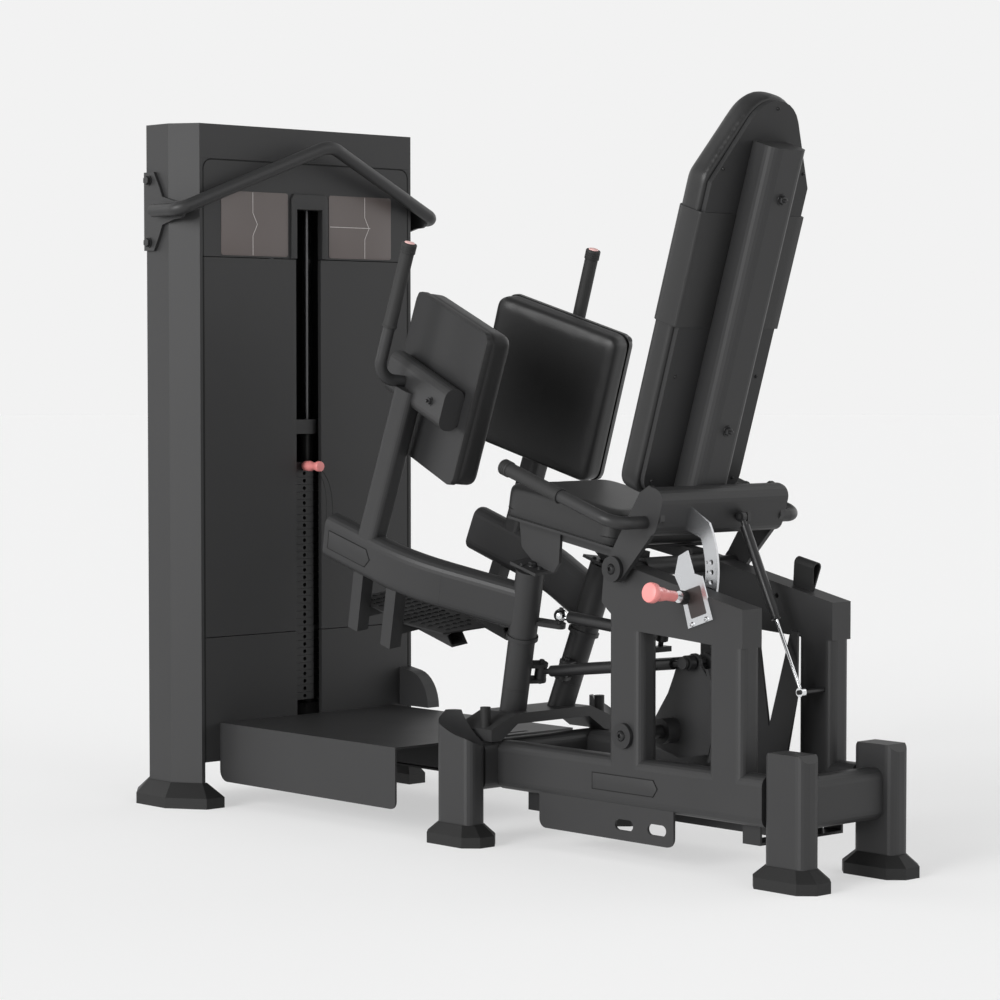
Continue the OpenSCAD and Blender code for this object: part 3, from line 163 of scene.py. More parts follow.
def groupOf(name, inputs, outputs):
    tree = bpy.data.node_groups.new(name, "ShaderNodeTree")
    for label, kind, value in inputs:
        socket = tree.interface.new_socket(name=label, in_out="INPUT", socket_type="NodeSocket" + kind)
        socket.default_value = value
    for label, kind in outputs:
        tree.interface.new_socket(name=label, in_out="OUTPUT", socket_type="NodeSocket" + kind)
    return tree, tree.nodes.new("NodeGroupInput"), tree.nodes.new("NodeGroupOutput")


def makeSpeckleGroup():
    # fine raised grain, with a slow drift of colour and gloss over the whole piece
    tree, given, out = groupOf(
        "speckle",
        [("Grain", "Float", 900.0), ("Drift", "Float", 6.0), ("Colour A", "Color", (0, 0, 0, 1)),
         ("Colour B", "Color", (1, 1, 1, 1)), ("Rough A", "Float", 0.4), ("Rough B", "Float", 0.5)],
        [("Colour", "Color"), ("Roughness", "Float"), ("Height", "Float")],
    )
    new, link = tree.nodes.new, tree.links.new
    coord = new("ShaderNodeTexCoord")
    grain = new("ShaderNodeTexNoise")
    grain.inputs["Detail"].default_value = 3
    drift = new("ShaderNodeTexNoise")
    drift.inputs["Detail"].default_value = 4
    drift.inputs["Roughness"].default_value = 0.6
    colour = new("ShaderNodeMix")
    colour.data_type = "RGBA"
    rough = new("ShaderNodeMix")
    for texture, scale in ((grain, "Grain"), (drift, "Drift")):
        link(coord.outputs["Object"], texture.inputs["Vector"])
        link(given.outputs[scale], texture.inputs["Scale"])
    link(drift.outputs["Fac"], colour.inputs["Factor"])
    link(given.outputs["Colour A"], colour.inputs[6])
    link(given.outputs["Colour B"], colour.inputs[7])
    link(drift.outputs["Fac"], rough.inputs["Factor"])
    link(given.outputs["Rough A"], rough.inputs[2])
    link(given.outputs["Rough B"], rough.inputs[3])
    link(colour.outputs[2], out.inputs["Colour"])
    link(rough.outputs[0], out.inputs["Roughness"])
    link(grain.outputs["Fac"], out.inputs["Height"])
    return tree


def makeDustGroup():
    # pale dust that settles on upward faces, thinned by noise
    tree, given, out = groupOf(
        "settledDust",
        [("Base", "Color", (0, 0, 0, 1)), ("Dust", "Color", (0.2, 0.2, 0.2, 1)), ("Amount", "Float", 0.1)],
        [("Colour", "Color")],
    )
    new, link = tree.nodes.new, tree.links.new
    coord = new("ShaderNodeTexCoord")
    patch = new("ShaderNodeTexNoise")
    patch.inputs["Scale"].default_value = 22
    patch.inputs["Detail"].default_value = 6
    geometry = new("ShaderNodeNewGeometry")
    split = new("ShaderNodeSeparateXYZ")
    up = new("ShaderNodeMapRange")
    up.inputs["From Min"].default_value = 0.5
    mask = new("ShaderNodeMath")
    mask.operation = "MULTIPLY"
    share = new("ShaderNodeMath")
    share.operation = "MULTIPLY"
    mix = new("ShaderNodeMix")
    mix.data_type = "RGBA"
    link(coord.outputs["Object"], patch.inputs["Vector"])
    link(geometry.outputs["Normal"], split.inputs[0])
    link(split.outputs["Z"], up.inputs["Value"])
    link(up.outputs["Result"], mask.inputs[0])
    link(patch.outputs["Fac"], mask.inputs[1])
    link(mask.outputs[0], share.inputs[0])
    link(given.outputs["Amount"], share.inputs[1])
    link(share.outputs[0], mix.inputs["Factor"])
    link(given.outputs["Base"], mix.inputs[6])
    link(given.outputs["Dust"], mix.inputs[7])
    link(mix.outputs[2], out.inputs["Colour"])
    return tree


def makeHideGroup():
    # pebbled cells of coated cloth with shallow creases between them
    tree, given, out = groupOf(
        "hidePebble",
        [("Pebble", "Float", 520.0), ("Crease", "Float", 0.4)],
        [("Height", "Float")],
    )
    new, link = tree.nodes.new, tree.links.new
    coord = new("ShaderNodeTexCoord")
    cells = new("ShaderNodeTexVoronoi")
    cells.feature = "SMOOTH_F1"
    folds = new("ShaderNodeTexNoise")
    folds.inputs["Scale"].default_value = 60
    folds.inputs["Detail"].default_value = 5
    scaled = new("ShaderNodeMath")
    scaled.operation = "MULTIPLY"
    total = new("ShaderNodeMath")
    total.operation = "ADD"
    link(coord.outputs["Object"], cells.inputs["Vector"])
    link(coord.outputs["Object"], folds.inputs["Vector"])
    link(given.outputs["Pebble"], cells.inputs["Scale"])
    link(folds.outputs["Fac"], scaled.inputs[0])
    link(given.outputs["Crease"], scaled.inputs[1])
    link(cells.outputs["Distance"], total.inputs[0])
    link(scaled.outputs[0], total.inputs[1])
    link(total.outputs[0], out.inputs["Height"])
    return tree


speckle = makeSpeckleGroup()
settledDust = makeDustGroup()
hidePebble = makeHideGroup()

finishes = {
    "charcoalPaint": {"a": (0.0200, 0.0200, 0.0205), "b": (0.0250, 0.0250, 0.0255), "rough": (0.42, 0.50),
                      "grain": 1400, "bump": 0.06, "dust": 0.03, "metallic": 0.0, "coat": 0.0, "gloss": 0.32},
    "blackSteel": {"a": (0.010, 0.010, 0.0105), "b": (0.015, 0.015, 0.0155), "rough": (0.34, 0.44), "grain": 1200,
                   "bump": 0.06, "dust": 0.03, "metallic": 0.0, "coat": 0.0, "gloss": 0.38},
    "chromedSteel": {"a": (0.78, 0.79, 0.80), "b": (0.70, 0.71, 0.72), "rough": (0.08, 0.16), "grain": 700,
                     "bump": 0.01, "dust": 0.0, "metallic": 1.0, "coat": 0.0, "gloss": 0.5},
    "oiledSteel": {"a": (0.16, 0.16, 0.165), "b": (0.20, 0.20, 0.205), "rough": (0.30, 0.42), "grain": 700,
                   "bump": 0.02, "dust": 0.0, "metallic": 1.0, "coat": 0.0, "gloss": 0.4},
    "zincSteel": {"a": (0.66, 0.67, 0.68), "b": (0.56, 0.57, 0.59), "rough": (0.20, 0.32), "grain": 420,
                  "bump": 0.05, "dust": 0.0, "metallic": 1.0, "coat": 0.0, "gloss": 0.5},
    "gripRubber": {"a": (0.014, 0.014, 0.014), "b": (0.020, 0.020, 0.020), "rough": (0.58, 0.70), "grain": 1800,
                   "bump": 0.16, "dust": 0.04, "metallic": 0.0, "coat": 0.0, "gloss": 0.35},
    "beltRubber": {"a": (0.008, 0.008, 0.008), "b": (0.012, 0.012, 0.012), "rough": (0.55, 0.68), "grain": 900,
                   "bump": 0.12, "dust": 0.03, "metallic": 0.0, "coat": 0.0, "gloss": 0.3},
    "shellPlastic": {"a": (0.014, 0.014, 0.0145), "b": (0.018, 0.018, 0.0185), "rough": (0.46, 0.54), "grain": 1500,
                     "bump": 0.10, "dust": 0.03, "metallic": 0.0, "coat": 0.0, "gloss": 0.32},
    "upholstery": {"a": (0.0110, 0.0110, 0.0112), "b": (0.0150, 0.0150, 0.0152), "rough": (0.36, 0.44),
                   "grain": 900, "bump": 0.20, "dust": 0.02, "metallic": 0.0, "coat": 0.0, "gloss": 0.34,
                   "pebble": 620, "sheen": 0.03},
    "salmonPlastic": {"a": (0.66, 0.215, 0.205), "b": (0.71, 0.25, 0.24), "rough": (0.38, 0.46), "grain": 900,
                      "bump": 0.04, "dust": 0.0, "metallic": 0.0, "coat": 0.1, "gloss": 0.4},
    "palePink": {"a": (0.72, 0.42, 0.40), "b": (0.78, 0.50, 0.48), "rough": (0.40, 0.50), "grain": 900,
                 "bump": 0.04, "dust": 0.0, "metallic": 0.0, "coat": 0.1, "gloss": 0.4},
    "placardFilm": {"a": (0.088, 0.072, 0.068), "b": (0.102, 0.084, 0.080), "rough": (0.30, 0.36), "grain": 600,
                    "bump": 0.02, "dust": 0.0, "metallic": 0.0, "coat": 0.1, "gloss": 0.4},
    "placardInk": {"a": (0.46, 0.43, 0.42), "b": (0.52, 0.49, 0.48), "rough": (0.40, 0.46), "grain": 600,
                   "bump": 0.02, "dust": 0.0, "metallic": 0.0, "coat": 0.0, "gloss": 0.4},
    "darkLabel": {"a": (0.022, 0.016, 0.015), "b": (0.028, 0.021, 0.020), "rough": (0.32, 0.40), "grain": 600,
                  "bump": 0.02, "dust": 0.0, "metallic": 0.0, "coat": 0.1, "gloss": 0.4},
    # near-black thread for the welts and plate lines, and also the painted shadow in the gaps round the tower panels
    "seamThreadAndPaintedShade": {"a": (0.007, 0.007, 0.007), "b": (0.010, 0.010, 0.010), "rough": (0.70, 0.80), "grain": 2600,
                   "bump": 0.3, "dust": 0.0, "metallic": 0.0, "coat": 0.0, "gloss": 0.2},
}


def makeFinish(name, spec):
    mat = bpy.data.materials.new(name)
    mat.use_nodes = True
    tree = mat.node_tree
    shader = tree.nodes["Principled BSDF"]
    base = tree.nodes.new("ShaderNodeGroup")
    base.node_tree = speckle
    base.inputs["Grain"].default_value = spec["grain"]
    base.inputs["Drift"].default_value = spec.get("drift", 5)
    base.inputs["Colour A"].default_value = (*spec["a"], 1)
    base.inputs["Colour B"].default_value = (*spec["b"], 1)
    base.inputs["Rough A"].default_value = spec["rough"][0]
    base.inputs["Rough B"].default_value = spec["rough"][1]
    colour = base.outputs["Colour"]
    if spec["dust"]:
        dust = tree.nodes.new("ShaderNodeGroup")
        dust.node_tree = settledDust
        dust.inputs["Amount"].default_value = spec["dust"]
        tree.links.new(colour, dust.inputs["Base"])
        colour = dust.outputs["Colour"]
    bump = tree.nodes.new("ShaderNodeBump")
    bump.inputs["Strength"].default_value = spec["bump"]
    bump.inputs["Distance"].default_value = 0.001
    height = base.outputs["Height"]
    if "pebble" in spec:
        hideNode = tree.nodes.new("ShaderNodeGroup")
        hideNode.node_tree = hidePebble
        hideNode.inputs["Pebble"].default_value = spec["pebble"]
        height = hideNode.outputs["Height"]
    tree.links.new(colour, shader.inputs["Base Color"])
    tree.links.new(base.outputs["Roughness"], shader.inputs["Roughness"])
    tree.links.new(height, bump.inputs["Height"])
    tree.links.new(bump.outputs["Normal"], shader.inputs["Normal"])
    shader.inputs["Metallic"].default_value = spec["metallic"]
    shader.inputs["Coat Weight"].default_value = spec["coat"]
    shader.inputs["Coat Roughness"].default_value = 0.35
    shader.inputs["Specular IOR Level"].default_value = spec["gloss"]
    shader.inputs["Sheen Weight"].default_value = spec.get("sheen", 0.0)
    return mat


paints = {name: makeFinish(name, spec) for name, spec in finishes.items()}

slotFinish = {
    "powder_coat": "charcoalPaint", "black_metal": "blackSteel", "chrome_steel": "chromedSteel",
    "zinc_steel": "zincSteel", "black_rubber": "beltRubber", "upholstery": "upholstery",
    "back_shell_plastic": "shellPlastic", "salmon_plastic": "salmonPlastic",
}
nodeFinish = {"selector_rod": "oiledSteel", "guide_rods": "oiledSteel"}
finishSlot = {finish: slot for slot, finish in slotFinish.items()}
finishSlot.update({"gripRubber": "black_rubber", "palePink": "salmon_plastic", "placardFilm": "back_shell_plastic",
                   "placardInk": "back_shell_plastic", "darkLabel": "back_shell_plastic", "seamThreadAndPaintedShade": "upholstery"})

for row in frame["record"]["subparts"]:
    for slot in nodes[row["node"]].material_slots:
        slot.material = paints[nodeFinish.get(row["node"], slotFinish[row["material_slot"]])]
print("finishes:", len(paints))

# small helpers that make and place pieces


def finished(name, bm, finish, body, sharp=35):
    mesh = bpy.data.meshes.new(name)
    bm.to_mesh(mesh)
    bm.free()
    for face in mesh.polygons:
        face.use_smooth = True
    mesh.set_sharp_from_angle(angle=math.radians(sharp))
    mesh.materials.append(paints[finish])
    obj = bpy.data.objects.new(name, mesh)
    scene.collection.objects.link(obj)
    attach(obj, body)
    return obj


def placed(bm, matrix):
    bm.transform(matrix)
    if matrix.determinant() < 0:
        bmesh.ops.reverse_faces(bm, faces=bm.faces)
    return bm


def spun(profile, matrix, steps=48):
    # a profile of (radius, height) in millimetres turned about Z, its ends on the axis
    bm = bmesh.new()
    ring = [bm.verts.new((r / 1000, 0, z / 1000)) for r, z in profile]
    line = [bm.edges.new(pair) for pair in zip(ring, ring[1:])]
    bmesh.ops.spin(bm, geom=ring + line, axis=(0, 0, 1), cent=(0, 0, 0), angle=math.tau, steps=steps, use_merge=True)
    bmesh.ops.remove_doubles(bm, verts=bm.verts, dist=1e-6)
    bmesh.ops.recalc_face_normals(bm, faces=bm.faces)
    return placed(bm, matrix)


def joined(parts):
    whole = bmesh.new()
    for bm in parts:
        mesh = bpy.data.meshes.new("joining")
        bm.to_mesh(mesh)
        bm.free()
        whole.from_mesh(mesh)
        bpy.data.meshes.remove(mesh)
    return whole


def plate(outline, thick, matrix, edge=0.8, segments=3):
    # flat outline in X and Y, millimetres, raised along Z and rounded on its upper rim
    bm = bmesh.new()
    base = bm.faces.new([bm.verts.new((x / 1000, y / 1000, 0)) for x, y in outline])
    base.normal_update()
    if base.normal.z > 0:
        base.normal_flip()
    raised = bmesh.ops.extrude_face_region(bm, geom=[base])["geom"]
    top = [v for v in raised if isinstance(v, bmesh.types.BMVert)]
    bmesh.ops.translate(bm, vec=(0, 0, thick / 1000), verts=top)
    bmesh.ops.recalc_face_normals(bm, faces=bm.faces)
    if edge:
        rim = [e for e in bm.edges if all(v.co.z > thick / 2000 for v in e.verts)]
        bmesh.ops.bevel(bm, geom=rim, offset=edge / 1000, segments=segments, profile=0.5, affect="EDGES", material=-1)
    return placed(bm, matrix)


def roundedBox(w, h, r, n=5):
    points = []
    for q in range(4):
        cx = (w / 2 - r) * (1 if q in (0, 3) else -1)
        cy = (h / 2 - r) * (1 if q < 2 else -1)
        for i in range(n + 1):
            a = math.radians(90 * q + 90 * i / n)
            points.append((cx + r * math.cos(a), cy + r * math.sin(a)))
    return points


def hexBolt(across, matrix, stud=0.0):
    # washer, hexagon head with a chamfered top, and the bolt's end if it stands through a nut
    parts = [spun([(0, 0), (across * 0.72, 0), (across * 0.76, 0.6), (across * 0.72, 1.8), (0, 1.8)], matrix, 32)]
    bm = bmesh.new()
    tall = across * 0.42
    head = bmesh.ops.create_cone(bm, cap_ends=True, segments=6, radius1=across * 0.577 / 1000,
                                 radius2=across * 0.577 / 1000, depth=tall / 1000)["verts"]
    bmesh.ops.translate(bm, vec=(0, 0, (1.8 + tall / 2) / 1000), verts=head)
    rim = [e for e in bm.edges if all(v.co.z > (1.8 + tall / 2) / 1000 for v in e.verts)]
    bmesh.ops.bevel(bm, geom=rim, offset=across * 0.07 / 1000, segments=2, profile=0.5, affect="EDGES", material=-1)
    parts.append(placed(bm, matrix))
    if stud:
        r = across * 0.27
        z = 1.8 + tall
        parts.append(spun([(0, z - 1), (r, z - 1), (r, z + stud - 1), (r - 1, z + stud), (0, z + stud)], matrix, 24))
    return joined(parts)


def socketScrew(d, matrix):
    # domed screw with a hexagon socket
    r = d / 2
    dome = [(r * 0.42, r * 0.30), (r * 0.42, r * 0.72), (r * 0.52, r * 0.80), (r * 0.80, r * 0.62),
            (r, r * 0.25), (r, 0)]
    return spun([(0, r * 0.30), *dome, (0, 0)], matrix, 28)


# lanyard of the selector pin

lanyard = {
    "exit": (-1, 757, 820.6),
    "route": [
        (-1, 757, 820.6), (1, 755, 811), (6, 752, 798), (11, 750, 780), (14, 748, 750), (14, 748, 710),
        (14, 748, 670), (14, 748, 640), (16, 748, 628), (20, 748, 622), (25, 748, 620), (30, 748, 622),
        (34, 748, 628), (36, 748, 640), (36, 748, 670), (35, 748, 710), (33, 748, 750), (28, 750, 780),
        (21, 752, 800), (14, 755, 813), (6.5, 757, 822.6),
    ],
    "length": 0.424,
    "diameter": 0.002,
}


def makeLanyard():
    curve = bpy.data.curves.new("pinLanyard", "CURVE")
    curve.dimensions = "3D"
    curve.bevel_depth = lanyard["diameter"] / 2
    curve.bevel_resolution = 4
    curve.use_fill_caps = True
    curve.resolution_u = 8
    line = curve.splines.new("BEZIER")
    line.bezier_points.add(len(lanyard["route"]) - 1)
    for point, (x, y, z) in zip(line.bezier_points, lanyard["route"]):
        point.co = (x / 1000, y / 1000, z / 1000)
        point.handle_left_type = point.handle_right_type = "AUTO"
    curve.materials.append(paints["beltRubber"])
    obj = bpy.data.objects.new("pinLanyard", curve)
    scene.collection.objects.link(obj)
    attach(obj, "pin")
    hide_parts("pin_lanyard")


makeLanyard()
print("lanyard")

# cushions: a bevelled block is inflated as cloth, its back held by the board behind it

cushions = {
    "seat": {"size": (330, 372, 78), "corner": 42, "round": 15, "voxel": 5.0, "inset": 1.5, "cap": (0.8, 4.5),
             "pressure": 3.0, "body": "frame", "node": "seat_cushion"},
    "back": {"width": 325, "length": 898, "thick": 66, "head": 93, "round": 15, "voxel": 6.0, "inset": 1.5,
             "cap": (0.8, 3.5), "pressure": 3.0, "body": "backrest", "node": "back_cushion"},
    "thigh": {"size": (366, 360, 60), "corner": 26, "round": 13, "voxel": 5.0, "inset": 1.5, "cap": (0.8, 3.5),
              "pressure": 3.0, "rim": (4, 11.5)},
    "welt": {"diameter": 2.4},
}


def backOutline(width, length, head, lift, corner=36):
    points = [(-width / 2 + corner + corner * math.cos(math.radians(a)),
               lift + corner + corner * math.sin(math.radians(a))) for a in range(180, 271, 15)]
    points += [(width / 2 - corner + corner * math.cos(math.radians(a)),
                lift + corner + corner * math.sin(math.radians(a))) for a in range(270, 361, 15)]
    points.append((width / 2, lift + length - 185))
    points += [(head * math.cos(math.radians(a)), lift + length - head + head * math.sin(math.radians(a)))
               for a in range(30, 151, 12)]
    points.append((-width / 2, lift + length - 185))
    return points


def shrunk(outline, by):
    cx = (min(p[0] for p in outline) + max(p[0] for p in outline)) / 2
    cy = (min(p[1] for p in outline) + max(p[1] for p in outline)) / 2
    w = max(p[0] for p in outline) - cx
    h = max(p[1] for p in outline) - cy
    return [(cx + (x - cx) * (w - by) / w, cy + (y - cy) * (h - by) / h) for x, y in outline]


def cushionBlock(outline, thick, rounding):
    # drawn in X and Y with its front face up; the rim nearest the board has a tighter round
    bm = plate(outline, thick, Matrix.Identity(4), edge=rounding, segments=6)
    low = [e for e in bm.edges if all(v.co.z < 1e-6 for v in e.verts)]
    bmesh.ops.bevel(bm, geom=low, offset=0.005, segments=3, profile=0.5, affect="EDGES", material=-1)
    return bm


def inflated(name, bm, spec):
    # voxel remesh, then cloth with pressure; the back stays on its board,
    # and no point moves past the caps, sideways and out
    mesh = bpy.data.meshes.new(name)
    bm.to_mesh(mesh)
    bm.free()
    obj = bpy.data.objects.new(name, mesh)
    scene.collection.objects.link(obj)
    grid = obj.modifiers.new("evenGrid", "REMESH")
    grid.mode = "VOXEL"
    grid.voxel_size = spec["voxel"] / 1000
    graph = bpy.context.evaluated_depsgraph_get()
    obj.data = bpy.data.meshes.new_from_object(obj.evaluated_get(graph))
    obj.modifiers.clear()
    rest = [v.co.copy() for v in obj.data.vertices]
    held = obj.vertex_groups.new(name="onBoard")
    held.add([i for i, co in enumerate(rest) if co.z < 0.004], 1.0, "REPLACE")
    cloth = obj.modifiers.new("cover", "CLOTH")
    cloth.settings.use_pressure = True
    cloth.settings.uniform_pressure_force = spec["pressure"]
    cloth.settings.effector_weights.gravity = 0
    cloth.settings.vertex_group_mass = "onBoard"
    cloth.settings.tension_stiffness = 30
    cloth.settings.compression_stiffness = 30
    cloth.point_cache.frame_start = 1
    cloth.point_cache.frame_end = 20
    for number in range(1, 21):
        scene.frame_set(number)
    graph = bpy.context.evaluated_depsgraph_get()
    grown = obj.evaluated_get(graph).data
    across, out = (value / 1000 for value in spec["cap"])
    for vertex, start, end in zip(obj.data.vertices, rest, [v.co.copy() for v in grown.vertices]):
        step = end - start
        wide = math.hypot(step.x, step.y)
        step = Vector((*(step.xy * min(1, across / max(wide, 1e-9))), min(out, max(0, step.z))))
        vertex.co = start + step
    obj.modifiers.clear()
    scene.frame_set(1)
    bm = bmesh.new()
    bm.from_mesh(obj.data)
    for _ in range(8):
        bmesh.ops.smooth_vert(bm, verts=bm.verts, factor=0.5, use_axis_x=True, use_axis_y=True, use_axis_z=True)
    bpy.data.objects.remove(obj)
    return bm


def covered(name, bm, matrix, body, node):
    obj = finished(name, placed(bm, matrix), "upholstery", body, sharp=180)
    smooth = obj.modifiers.new("smoothCover", "SUBSURF")
    smooth.levels = smooth.render_levels = 1
    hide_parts(node)
    return obj


def weltAround(name, outline, z, matrix, body):
    # rolled seam where the cover meets its board
    bm = bmesh.new()
    r = cushions["welt"]["diameter"] / 2000
    count = len(outline)
    rings = []
    for i, (x, y) in enumerate(outline):
        ax, ay = outline[i - 1]
        bx, by = outline[(i + 1) % count]
        out = Vector((by - ay, ax - bx, 0)).normalized()
        rings.append([bm.verts.new(Vector((x, y, z)) / 1000 + out * r * math.cos(a) + Vector((0, 0, r)) * math.sin(a))
                      for a in [math.tau * k / 10 for k in range(10)]])
    for a, b in zip(rings, rings[1:] + rings[:1]):
        for k in range(10):
            bm.faces.new((a[k], b[k], b[(k + 1) % 10], a[(k + 1) % 10]))
    bmesh.ops.recalc_face_normals(bm, faces=bm.faces)
    return finished(name, placed(bm, matrix), "seamThreadAndPaintedShade", body)


def rimAround(tall, long, spec):
    # the cover turned in round the edge of the board
    width, depth = spec["rim"]
    outer = [Vector((0, y, z)) / 1000 for z, y in roundedBox(tall - 1.4, long - 1.4, spec["corner"], 12)]
    inside = roundedBox(tall - 2 * width, long - 2 * width, spec["corner"] - width, 12)
    inner = [Vector((0, y, z)) / 1000 for z, y in inside]
    steps = [(inner, depth), (inner, 1.6), (inner, 0.4), (outer, 0.4), (outer, 1.6), (outer, depth + 4)]
    bm = bmesh.new()
    softened = {2: 0.0008, 3: -0.0008}  # the two rear edges are drawn in a little
    rings = []
    for index, (ring, x) in enumerate(steps):
        rings.append([bm.verts.new(co + Vector((x / 1000, 0, 0)) + co.normalized() * softened.get(index, 0))
                      for co in ring])
    for a, b in zip(rings, rings[1:]):
        for k in range(len(a)):
            m = (k + 1) % len(a)
            bm.faces.new((a[k], a[m], b[m], b[k]))
    bmesh.ops.recalc_face_normals(bm, faces=bm.faces)
    return bm


def makeSeat():
    spec = cushions["seat"]
    w, l, thick = spec["size"]
    outline = roundedBox(w - 2 * spec["inset"], l - 2 * spec["inset"], spec["corner"], 8)
    matrix = seatFrame @ moved(0, -l / 2, 1)
    bm = inflated("seatForm", cushionBlock(outline, thick - spec["inset"] - 2, spec["round"]), spec)
    covered("seatCushion", bm, matrix, spec["body"], spec["node"])
    weltAround("seatWelt", roundedBox(w - 5.6, l - 5.6, spec["corner"], 12), 20, matrix, spec["body"])


def makeBack():
    spec = cushions["back"]
    outline = shrunk(backOutline(spec["width"], spec["length"], spec["head"], 2), spec["inset"])
    matrix = backFrame @ moved(0, 93.6, 0) @ Matrix(((-1, 0, 0, 0), (0, 0, 1, 0), (0, 1, 0, 0), (0, 0, 0, 1)))
    bm = inflated("backForm", cushionBlock(outline, spec["thick"] - 5, spec["round"]), spec)
    covered("backCushion", bm, matrix, spec["body"], spec["node"])


def makeThighPads():
    spec = cushions["thigh"]
    tall, long, thick = spec["size"]
    outline = roundedBox(tall - 2 * spec["inset"], long - 2 * spec["inset"], spec["corner"], 8)
    form = inflated("padForm", cushionBlock(outline, thick - 3, spec["round"]), spec)
    stand = padFrame @ moved(10.8, 0, 0) @ Matrix(((0, 0, 1, 0), (0, 1, 0, 0), (-1, 0, 0, 0), (0, 0, 0, 1)))
    for side, flip in sides.items():
        covered(side + "PadCushion", form.copy(), flip @ stand, side + "_arm", "pad_cushion_" + side)
        rim = placed(rimAround(tall, long, spec), flip @ padFrame)
        finished(side + "PadRim", rim, "upholstery", side + "_arm", 60)
    form.free()


makeSeat()
makeBack()
makeThighPads()
print("cushions")

# wide band of cover cloth round the middle of the back cushion

band = {"from": 386, "to": 640, "proud": 1.6, "front": 160.5, "rear": 79.6}


def makeBackBand():
    spec = cushions["back"]
    bm = bmesh.new()
    half = spec["width"] / 2
    arcs = [(57, band["rear"]), (half - 26, band["rear"]), (half - 2, band["rear"] + 1), (half + 1, band["rear"] + 6)]
    arcs += [(half + 1, band["front"] - 26)]
    arcs += [(half - 24 + 25 * math.cos(math.radians(a)), band["front"] - 25 + 25 * math.sin(math.radians(a)))
             for a in (25, 45, 65, 85)]
    crown = [(half * 0.5, band["front"] + 2.5), (0, band["front"] + 4)]
    path = arcs + crown + [(-x, y) for x, y in reversed(arcs + crown[:1])]
    levels = [band["from"], band["from"] + 4, (band["from"] + band["to"]) / 2, band["to"] - 4, band["to"]]
    rows = [[bm.verts.new((x / 1000, y / 1000, z / 1000)) for x, y in path] for z in levels]
    for a, b in zip(rows, rows[1:]):
        for k in range(len(path) - 1):
            bm.faces.new((a[k], a[k + 1], b[k + 1], b[k]))
    bmesh.ops.recalc_face_normals(bm, faces=bm.faces)
    bmesh.ops.solidify(bm, geom=bm.faces, thickness=band["proud"] / 1000)
    bmesh.ops.recalc_face_normals(bm, faces=bm.faces)
    obj = finished("backBand", placed(bm, backFrame), "upholstery", "backrest", 60)
    rounding = obj.modifiers.new("softEdge", "BEVEL")
    rounding.width = 0.0008
    rounding.segments = 2
    rounding.limit_method = "ANGLE"


makeBackBand()
print("back band")

# grips, knobs and their caps

grips = {"radius": 16, "bar": 14.2, "collar": 24}


def gripProfile(length):
    # smooth sleeve with a rolled lower edge and a thicker grooved end
    r, bore, start = grips["radius"], grips["bar"], length - grips["collar"]
    points = [(0, length - 6), (bore, length - 6), (bore, 0), (r + 0.6, 0), (r + 1.5, 1.2), (r + 1.5, 5),
              (r + 0.4, 6.4)]
    points += [(r, 8), (r, start), (r + 1.6, start + 0.8), (r + 2, start + 1.6)]
    for z in (start + 6, start + 11, start + 16):
        points += [(r + 2, z), (r + 1.1, z + 0.5), (r + 1.1, z + 1.5), (r + 2, z + 2)]
    points += [(r + 2, length - 2.6), (r + 0.8, length - 0.6), (r - 2, length)]
    return points + [(0, length)]


def capProfile(r):
    return [(0, 0), (r, 0), (r, 1.6), (r - 1.2, 2.8), (r * 0.5, 3.6), (0, 3.8)]


def makeGrips():
    for side, flip in sides.items():
        base = flip @ padFrame @ moved(-120, 58, 113)
        grip = finished(side + "HandleGrip", spun(gripProfile(201.5), base), "gripRubber", side + "_arm")
        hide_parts("grip_" + side)
        finished(side + "HandleCap", spun(capProfile(12), base @ moved(0, 0, 201)), "palePink", side + "_arm")
    seats = [flip @ moved(-253, -585, 750) @ turned("X", 18.2) @ moved(-40, 171, 0) @ turned("X", -90)
             for flip in sides.values()]
    hips = finished("hipGrips", joined([spun(gripProfile(191.5), m) for m in seats]), "gripRubber", "backrest")
    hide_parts("hip_grips")
    finished("hipCaps", joined([spun(capProfile(12), m @ moved(0, 0, 191)) for m in seats]), "palePink", "backrest")


knobs = {
    "selector": {"length": 64, "radius": 13, "waist": 3.4},
    "lock": [(0, 0), (11, 0), (11.5, 2), (11.5, 24), (12.4, 28), (15, 40), (15.6, 50), (18, 58), (21.4, 63), (22, 68),
             (22, 74), (20.5, 78), (17, 80), (6, 80.4), (0, 80.4)],
    "plunger": [(0, -68), (4.2, -68), (5, -66.6), (5, 34.6), (0, 34.6)],
    "sleeve": {"radius": 13.2, "from": 2, "to": 20.5, "turns": 6},
}


